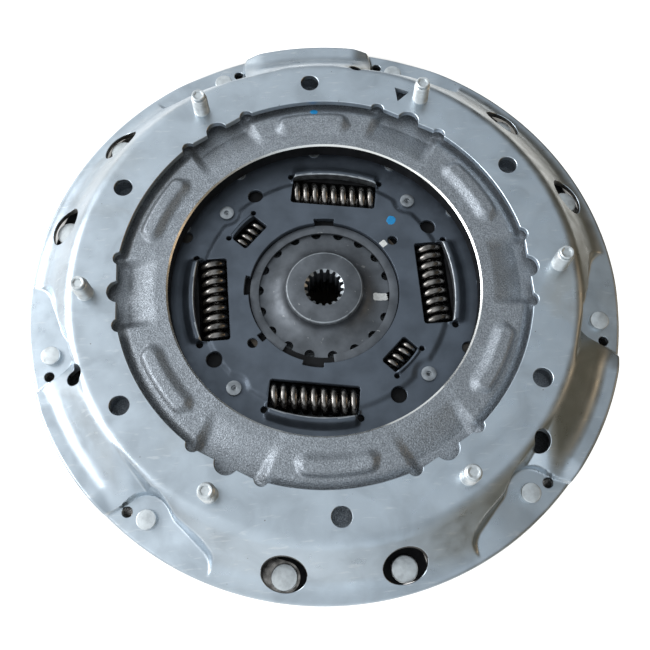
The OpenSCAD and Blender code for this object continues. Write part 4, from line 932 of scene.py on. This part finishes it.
def corner_holes(window, angles, out, along, radius):
    """Round relief holes at the outer corners of the windows."""
    corner_x = window[1] + out
    corner_y = window[2] + along
    lean = math.degrees(math.atan2(corner_y, corner_x))
    reach = math.hypot(corner_x, corner_y)
    return [oval(reach, a + s * lean, radius, radius, 20) for a in angles for s in (-1, 1)]


def cover_plate():
    """The damper's cover plate, pressed from sheet, with all its windows and holes."""
    columns = 900
    radii = np.concatenate([[COVER_BORE_R, COVER_BORE_R + 0.25], np.arange(37.8, 70.0, 0.5),
                            [72.0, 76.0, COVER_R]])
    radius, angle = polar_grid(radii, columns)
    height = cover_height(radius, angle)
    height[0] -= 0.3
    rows = [surface(radius, angle, height)]
    rows += [circle_row(r, round_turn(columns), COVER_LOW) for r in (COVER_R, COVER_BORE_R)]
    count = len(radii) + 2
    faces = ring_faces(count, columns, 0, True) + row_faces(0, (count - 1) * columns, columns)
    plate = mesh_piece("damper_cover_plate", np.concatenate(rows), faces, ["plate_steel", "dull_steel"])
    outlines = [window_outline(a, LARGE_WINDOW) for a in LARGE_ANGLES]
    outlines += [window_outline(a, SMALL_WINDOW, 0.9) for a in SMALL_ANGLES]
    outlines += [oval(63, a, 3.8, 3.8, 40) for a in (30, 120, 210, 300)]
    outlines += [oval(43.6, a, 2.4, 2.4, 28) for a in (34.5, 214.5)]
    outlines += [oval(75, a, 3.0, 3.0, 28) for a in (153.3, 333.3)]
    outlines += [sector_outline(35, 39.2, a - 7.5, a + 7.5) for a in (86.3, 172, 258.5)]
    outlines.append(sector_outline(35, 39.6, 212, 218))
    reliefs = corner_holes(LARGE_WINDOW, LARGE_ANGLES, 1.2, 1.2, 1.6)
    reliefs += corner_holes(SMALL_WINDOW, SMALL_ANGLES, 1.6, 1.0, 1.3)
    for name, shapes, chamfer in (("cover_cutter", outlines, 0.3), ("relief_cutter", reliefs, 0.2)):
        cutters = [punch(outline, chamfer, cover_height, -30.0) for outline in shapes]
        cut(plate, mesh_piece(name, *joined(cutters), []))
    # Painted highlight: the lips' edges take lighter steel
    for polygon in plate.data.polygons:
        x, y, z = polygon.center / MM
        if z > COVER_LOW + 0.5 and on_lip_highlight(x, y, LARGE_WINDOW, LARGE_ANGLES):
            polygon.material_index = 1
    stands_for(plate, "k1_cover_plate")


HUB_BACK, HUB_TOP = (corner[2] for corner in mm_box("k1_hub"))
DISC_LOW, DISC_TOP = (corner[2] for corner in mm_box("k1_hub_flange"))
FILLET_R = 30.2
FILLET_REACH = 11.1
FILLET_TOP = HUB_TOP - 1.8
FILLET_DROP = FILLET_TOP - DISC_TOP + 0.3
TEETH = 17


def spline_outline(root_r, tip_r):
    """Outline of the splined hole."""
    points = []
    for i in range(TEETH):
        for r, share in ((root_r, -0.62), (tip_r, -0.32), (tip_r, 0.32), (root_r, 0.62), (root_r, 1.0)):
            points.append(polar(r, (i + share / 2) * 360 / TEETH))
    return np.array(points)


def first_hub():
    """The first hub: a raised boss with a wide fillet, a toothed rim and a splined hole."""
    profile = [(7.0, HUB_TOP), (17.9, HUB_TOP), (18.4, HUB_TOP - 0.15), (18.7, HUB_TOP - 0.5),
               (19.1, HUB_TOP - 1.5)]
    arc = [polar(1, lean) for lean in range(0, 91, 9)]
    profile += [(FILLET_R - FILLET_REACH * out, FILLET_TOP - FILLET_DROP * down) for out, down in arc]
    profile += [(33.1, DISC_TOP - 0.35), (33.4, DISC_TOP - 0.65), (33.4, DISC_LOW + 0.2), (33.1, DISC_LOW),
                (25, DISC_LOW), (24, HUB_BACK + 0.5), (23.5, HUB_BACK), (7.0, HUB_BACK)]
    hub = mesh_piece("first_hub", *revolved(profile, (0, 0), 180), ["hub_steel", "dull_steel"])
    hole = block(spline_outline(9.6, 8.2), HUB_BACK - 2, HUB_TOP + 2, 0.01)
    ovals = [oval(32.4, 13.5 + 20 * i, 2.5, 2.5, 28) for i in range(18)]
    teeth = [block(outline, DISC_LOW - 2, DISC_TOP + 1, 0.01) for outline in ovals]
    cut(hub, mesh_piece("hub_cutter", *joined([hole, *teeth]), []))
    cone = revolved([(10.4, HUB_TOP + 0.6), (10.4, HUB_TOP + 0.5), (8.0, HUB_TOP - 1.2)], (0, 0), 96)
    cut(hub, mesh_piece("hub_chamfer_cutter", *cone, []), 30)
    # Painted highlights: the spline's chamfer and the thin ring at the face's edge take lighter steel
    for polygon in hub.data.polygons:
        x, y, z = polygon.center / MM
        r = math.hypot(x, y)
        chamfer = 8.1 < r < 10.9 and z < HUB_TOP - 0.02 and polygon.normal.z > 0.3
        if HUB_TOP - 1.6 < z and (chamfer or 18.1 < r < 18.9):
            polygon.material_index = 1
    stands_for(hub, "k1_hub")


def hub_height(radius, angle):
    """Height of the first hub's fillet and rim."""
    share = np.clip((FILLET_R - radius) / FILLET_REACH, 0, 1)
    return FILLET_TOP - FILLET_DROP * np.sqrt(1 - share * share) + 0 * angle


def dab(name, finish, node, centre, size, height, turn, seed, power=2.2):
    """A thin dab of marking paint on a surface: its radius and angle, and its half sizes across and along."""
    chance = np.random.default_rng(seed)
    count = 28
    angles = round_turn(count)
    ragged = 1 + 0.04 * chance.standard_normal(count)
    square = (np.abs(np.cos(angles)) ** power + np.abs(np.sin(angles)) ** power) ** (-1 / power)
    points = []
    for share in (0.03, 0.35, 0.7, 0.92, 1.0):
        reach = share * square * (ragged if share > 0.8 else 1)
        x, y = turned(size[0] * reach * np.cos(angles), size[1] * reach * np.sin(angles), turn).T
        radius = np.hypot(centre[0] + x, y)
        angle = centre[1] + np.degrees(np.arctan2(y, centre[0] + x))
        lift = 0.05 if share < 1 else -0.05
        points.append(surface(radius, angle, height(radius, angle) + lift))
    faces = ring_faces(len(points), count, 0, True) + [list(range(count))]
    made = mesh_piece(name, np.concatenate(points), faces, [finish], 60)
    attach(made, frame["nodes"][node]["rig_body"])


cover_plate()
first_hub()
dab("hub_mark", "white_paint", "k1_hub", (27.6, -7.5), (3.6, 2.0), hub_height, 6.0, 3, 8)
dab("plate_mark", "white_paint", "k1_cover_plate", (38.9, 36.5), (1.7, 1.7), cover_height, 0.0, 4, 8)
dab("plate_dot", "blue_paint", "k1_cover_plate", (51.0, 44.6), (2.6, 2.3), cover_height, 20.0, 5)
dab("casting_dot", "blue_paint", "k1_pressure_plate", (94.7, 89.3), (1.8, 2.0), casting_height, 0.0, 6)


# Pieces made from CAD nodes


def node_copy(node):
    """An editable copy of a CAD node's mesh."""
    work = bmesh.new()
    work.from_mesh(frame["nodes"][node].data)
    return work


def edited(name, work, finish):
    """An object of an editable mesh, in one finish."""
    mesh = bpy.data.meshes.new(name)
    work.to_mesh(mesh)
    work.free()
    return as_object(name, mesh, [finish], 30)


def eased(node, finish, width):
    """A copy of a CAD node with its edges rounded, which stands for it."""
    work = node_copy(node)
    bmesh.ops.remove_doubles(work, verts=work.verts, dist=2e-6)
    bmesh.ops.dissolve_limit(work, angle_limit=math.radians(0.4), verts=work.verts, edges=work.edges)
    sharp = [e for e in work.edges if e.is_manifold and e.calc_face_angle(0) > math.radians(28)]
    bmesh.ops.bevel(work, geom=sharp, offset=width * MM, offset_type="OFFSET", segments=2, profile=0.6,
                    affect="EDGES", clamp_overlap=True)
    bmesh.ops.triangulate(work, faces=[f for f in work.faces if len(f.verts) > 4])
    stands_for(edited(node + "_eased", work, finish), node)


def straps(node, fixed_angle, moving_angle):
    """The leaf springs of a pressure plate, one piece per lug, each between the housing's rivet and the
    plate's.
    """
    for centre in LUG_ANGLES:
        outwards = Vector(polar(1, centre + (fixed_angle + moving_angle) / 2))
        work = node_copy(node)
        others = [v for v in work.verts if v.co.xy.normalized().dot(outwards) < math.cos(math.radians(30))]
        bmesh.ops.delete(work, geom=others, context="VERTS")
        strap = edited(f"{node}_{centre}", work, "spring_steel")
        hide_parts(node)
        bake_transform(strap)


eased("k1_snap_ring", "hub_steel", 0.2)
eased("k1_stop_rivets", "dull_steel", 0.25)
straps("k1_leaf_springs", -27.5, -CAGE_RIVET_ANGLE)
straps("k2_leaf_springs", -30, 0)

NODE_FINISHES = {
    "cast_iron": ["k2_pressure_plate"],
    "dark_iron": ["central_plate"],
    "zinc_sheet": ["k1_adjuster_ring", "k2_adjuster_ring"],
    "bright_steel": ["k1_front_fulcrum_ring", "k1_rear_fulcrum_ring", "k2_fulcrum_ring", "leaf_rivets",
                     "k2_strap_rivets", "k1_segment_rivets", "k2_segment_rivets", "k2_stop_rivets"],
    "dark_sheet": ["clutch_cover", "pull_cage", "k1_lever_spring", "k2_lever_spring", "bearing_circlip",
                   "k1_cushion_segments", "k2_cushion_segments"],
    "spring_steel": ["k1_friction_spring"],
    "bearing_steel": ["bearing_outer_ring", "bearing_inner_ring", "bearing_balls"],
    "brass": ["bearing_cage", "k1_facing_rivets", "k2_facing_rivets"],
    "seal_rubber": ["bearing_seals"],
    "friction_facing": ["k1_front_facing", "k1_rear_facing", "k2_front_facing", "k2_rear_facing",
                        "k1_friction_ring", "k2_friction_ring"],
    "plate_steel": ["k2_carrier_plate", "k2_front_plate"],
    "hub_steel": ["k2_hub"],
    # The blackened hub flange and retainer plate are darkened further to near-black as painted shade deep
    # inside the damper
    "oiled_steel": ["k1_hub_flange", "k1_retainer_plate"],
}
for finish, members in NODE_FINISHES.items():
    for node in members:
        data = frame["nodes"][node].data
        data.materials.clear()
        data.materials.append(FINISHES[finish])


# Studio


def arithmetic(tree, operation, first, second):
    """One arithmetic step between two sockets or numbers."""
    node = tree.nodes.new("ShaderNodeMath")
    node.operation = operation
    feed(tree, first, node.inputs[0])
    feed(tree, second, node.inputs[1])
    return node.outputs["Value"]


def grey(*stops):
    """Colour ramp stops of (position, brightness)."""
    return [(position, (value, value, value)) for position, value in stops]


def studio_floor():
    """A pale floor with a painted pool of glow round the clutch that hides the contact shadow; it is dark
    under the clutch, and painted dark tan to the right as shade.
    """
    mesh = bpy.data.meshes.new("floor")
    reach = 6.0
    corners = [(reach * x, reach * y, 0) for x, y in ((-1, -1), (1, -1), (1, 1), (-1, 1))]
    mesh.from_pydata(corners, [], [(0, 1, 2, 3)])
    floor = placed("floor", mesh)
    floor.location.z = FLOOR_HEIGHT * MM
    material = bpy.data.materials.new("floor")
    material.use_nodes = True
    tree = material.node_tree
    tree.nodes.clear()
    output = tree.nodes.new("ShaderNodeOutputMaterial")
    both = tree.nodes.new("ShaderNodeAddShader")
    glow = tree.nodes.new("ShaderNodeEmission")
    surface_shader = tree.nodes.new("ShaderNodeBsdfDiffuse")
    place = tree.nodes.new("ShaderNodeTexCoord").outputs["Object"]
    split = tree.nodes.new("ShaderNodeSeparateXYZ")
    tree.links.new(place, split.inputs["Vector"])
    x, y = split.outputs["X"], split.outputs["Y"]
    distance = tree.nodes.new("ShaderNodeVectorMath")
    distance.operation = "DISTANCE"
    distance.inputs[1].default_value = (0.0023, 0.0308, 0.0)
    tree.links.new(place, distance.inputs[0])
    radius = distance.outputs["Value"]
    # Painted light: a ring of glow round the clutch, and none under it
    ring = colour_ramp(tree, radius, grey((0.161, 0), (0.168, 0.96), (0.21, 0.86), (0.36, 0.74), (0.8, 0.4)))
    across = arithmetic(tree, "SUBTRACT", x, arithmetic(tree, "MULTIPLY", y, 0.25))
    # Painted shade: the glow turns dark tan to the right
    side = colour_ramp(tree, across, ((0.22, (1, 1, 1)), (0.27, (0.07, 0.063, 0.045)),
                                      (0.6, (0.05, 0.045, 0.03))))
    tree.links.new(mixed(tree, 1.0, ring, side, "MULTIPLY"), glow.inputs["Color"])
    near = colour_ramp(tree, arithmetic(tree, "ADD", y, 0.5), grey((0.32, 0.5), (0.44, 0.62), (0.58, 0.9)))
    left = colour_ramp(tree, arithmetic(tree, "MULTIPLY", x, -1.0), grey((0.24, 0), (0.32, 1)))
    loss = arithmetic(tree, "MULTIPLY", left, arithmetic(tree, "SUBTRACT", 1.0, near))
    tree.links.new(arithmetic(tree, "SUBTRACT", 1.0, loss), glow.inputs["Strength"])
    under = colour_ramp(tree, radius, ((0.15, (0.4, 0.34, 0.28)), (0.167, (1, 1, 1))))
    # Painted shade: the floor's own colour also turns dark tan to the right
    pale = colour_ramp(tree, across, ((0.22, (0.5, 0.49, 0.47)), (0.29, (0.13, 0.118, 0.09))))
    tree.links.new(mixed(tree, 1.0, under, pale, "MULTIPLY"), surface_shader.inputs["Color"])
    tree.links.new(surface_shader.outputs["BSDF"], both.inputs[0])
    tree.links.new(glow.outputs["Emission"], both.inputs[1])
    tree.links.new(both.outputs["Shader"], output.inputs["Surface"])
    mesh.materials.append(material)


def soft_box(name, place, target, size, power, colour):
    """A large area light that faces a point; place and target are in metres."""
    data = bpy.data.lights.new(name, "AREA")
    data.shape = "RECTANGLE"
    data.size, data.size_y = size
    data.energy = power
    data.color = colour
    light = placed(name, data)
    light.location = place
    light.rotation_euler = (Vector(target) - Vector(place)).to_track_quat("-Z", "Y").to_euler()


def studio_sky():
    """Room light: bright on the left, dim on the right, brighter low behind the left and before the rest."""
    world = bpy.data.worlds.new("studio")
    bpy.context.scene.world = world
    world.use_nodes = True
    tree = world.node_tree
    place = tree.nodes.new("ShaderNodeTexCoord")
    split = tree.nodes.new("ShaderNodeSeparateXYZ")
    tree.links.new(place.outputs["Generated"], split.inputs["Vector"])
    across = arithmetic(tree, "ADD", arithmetic(tree, "MULTIPLY", split.outputs["X"], 0.5), 0.5)
    side = colour_ramp(tree, across, ((0.0, (1.02, 1.06, 1.10)), (0.25, (0.92, 0.98, 1.02)),
                                      (0.5, (0.70, 0.75, 0.79)), (0.64, (0.52, 0.59, 0.65)),
                                      (0.71, (0.25, 0.26, 0.26)), (0.82, (0.17, 0.155, 0.125)),
                                      (1.0, (0.13, 0.115, 0.085))))
    low = arithmetic(tree, "SUBTRACT", 1.0, split.outputs["Z"])
    lean = arithmetic(tree, "SUBTRACT", arithmetic(tree, "MULTIPLY", split.outputs["X"], -0.95), 0.45)
    near = arithmetic(tree, "MULTIPLY", arithmetic(tree, "MULTIPLY", split.outputs["Y"], lean), low)
    back = tree.nodes["Background"]
    tree.links.new(side, back.inputs["Color"])
    tree.links.new(arithmetic(tree, "ADD", near, 1.0), back.inputs["Strength"])


studio_floor()
studio_sky()
soft_box("window_light", (-1.6, 0.3, 0.9), (0, 0, 0), (1.6, 1.2), 24.0, (0.95, 0.98, 1.0))
soft_box("warm_wall", (1.5, 0.1, 0.6), (0, 0, 0), (0.8, 0.5), 1.0, (1.0, 0.72, 0.45))
bpy.context.scene.view_settings.view_transform = "Standard"
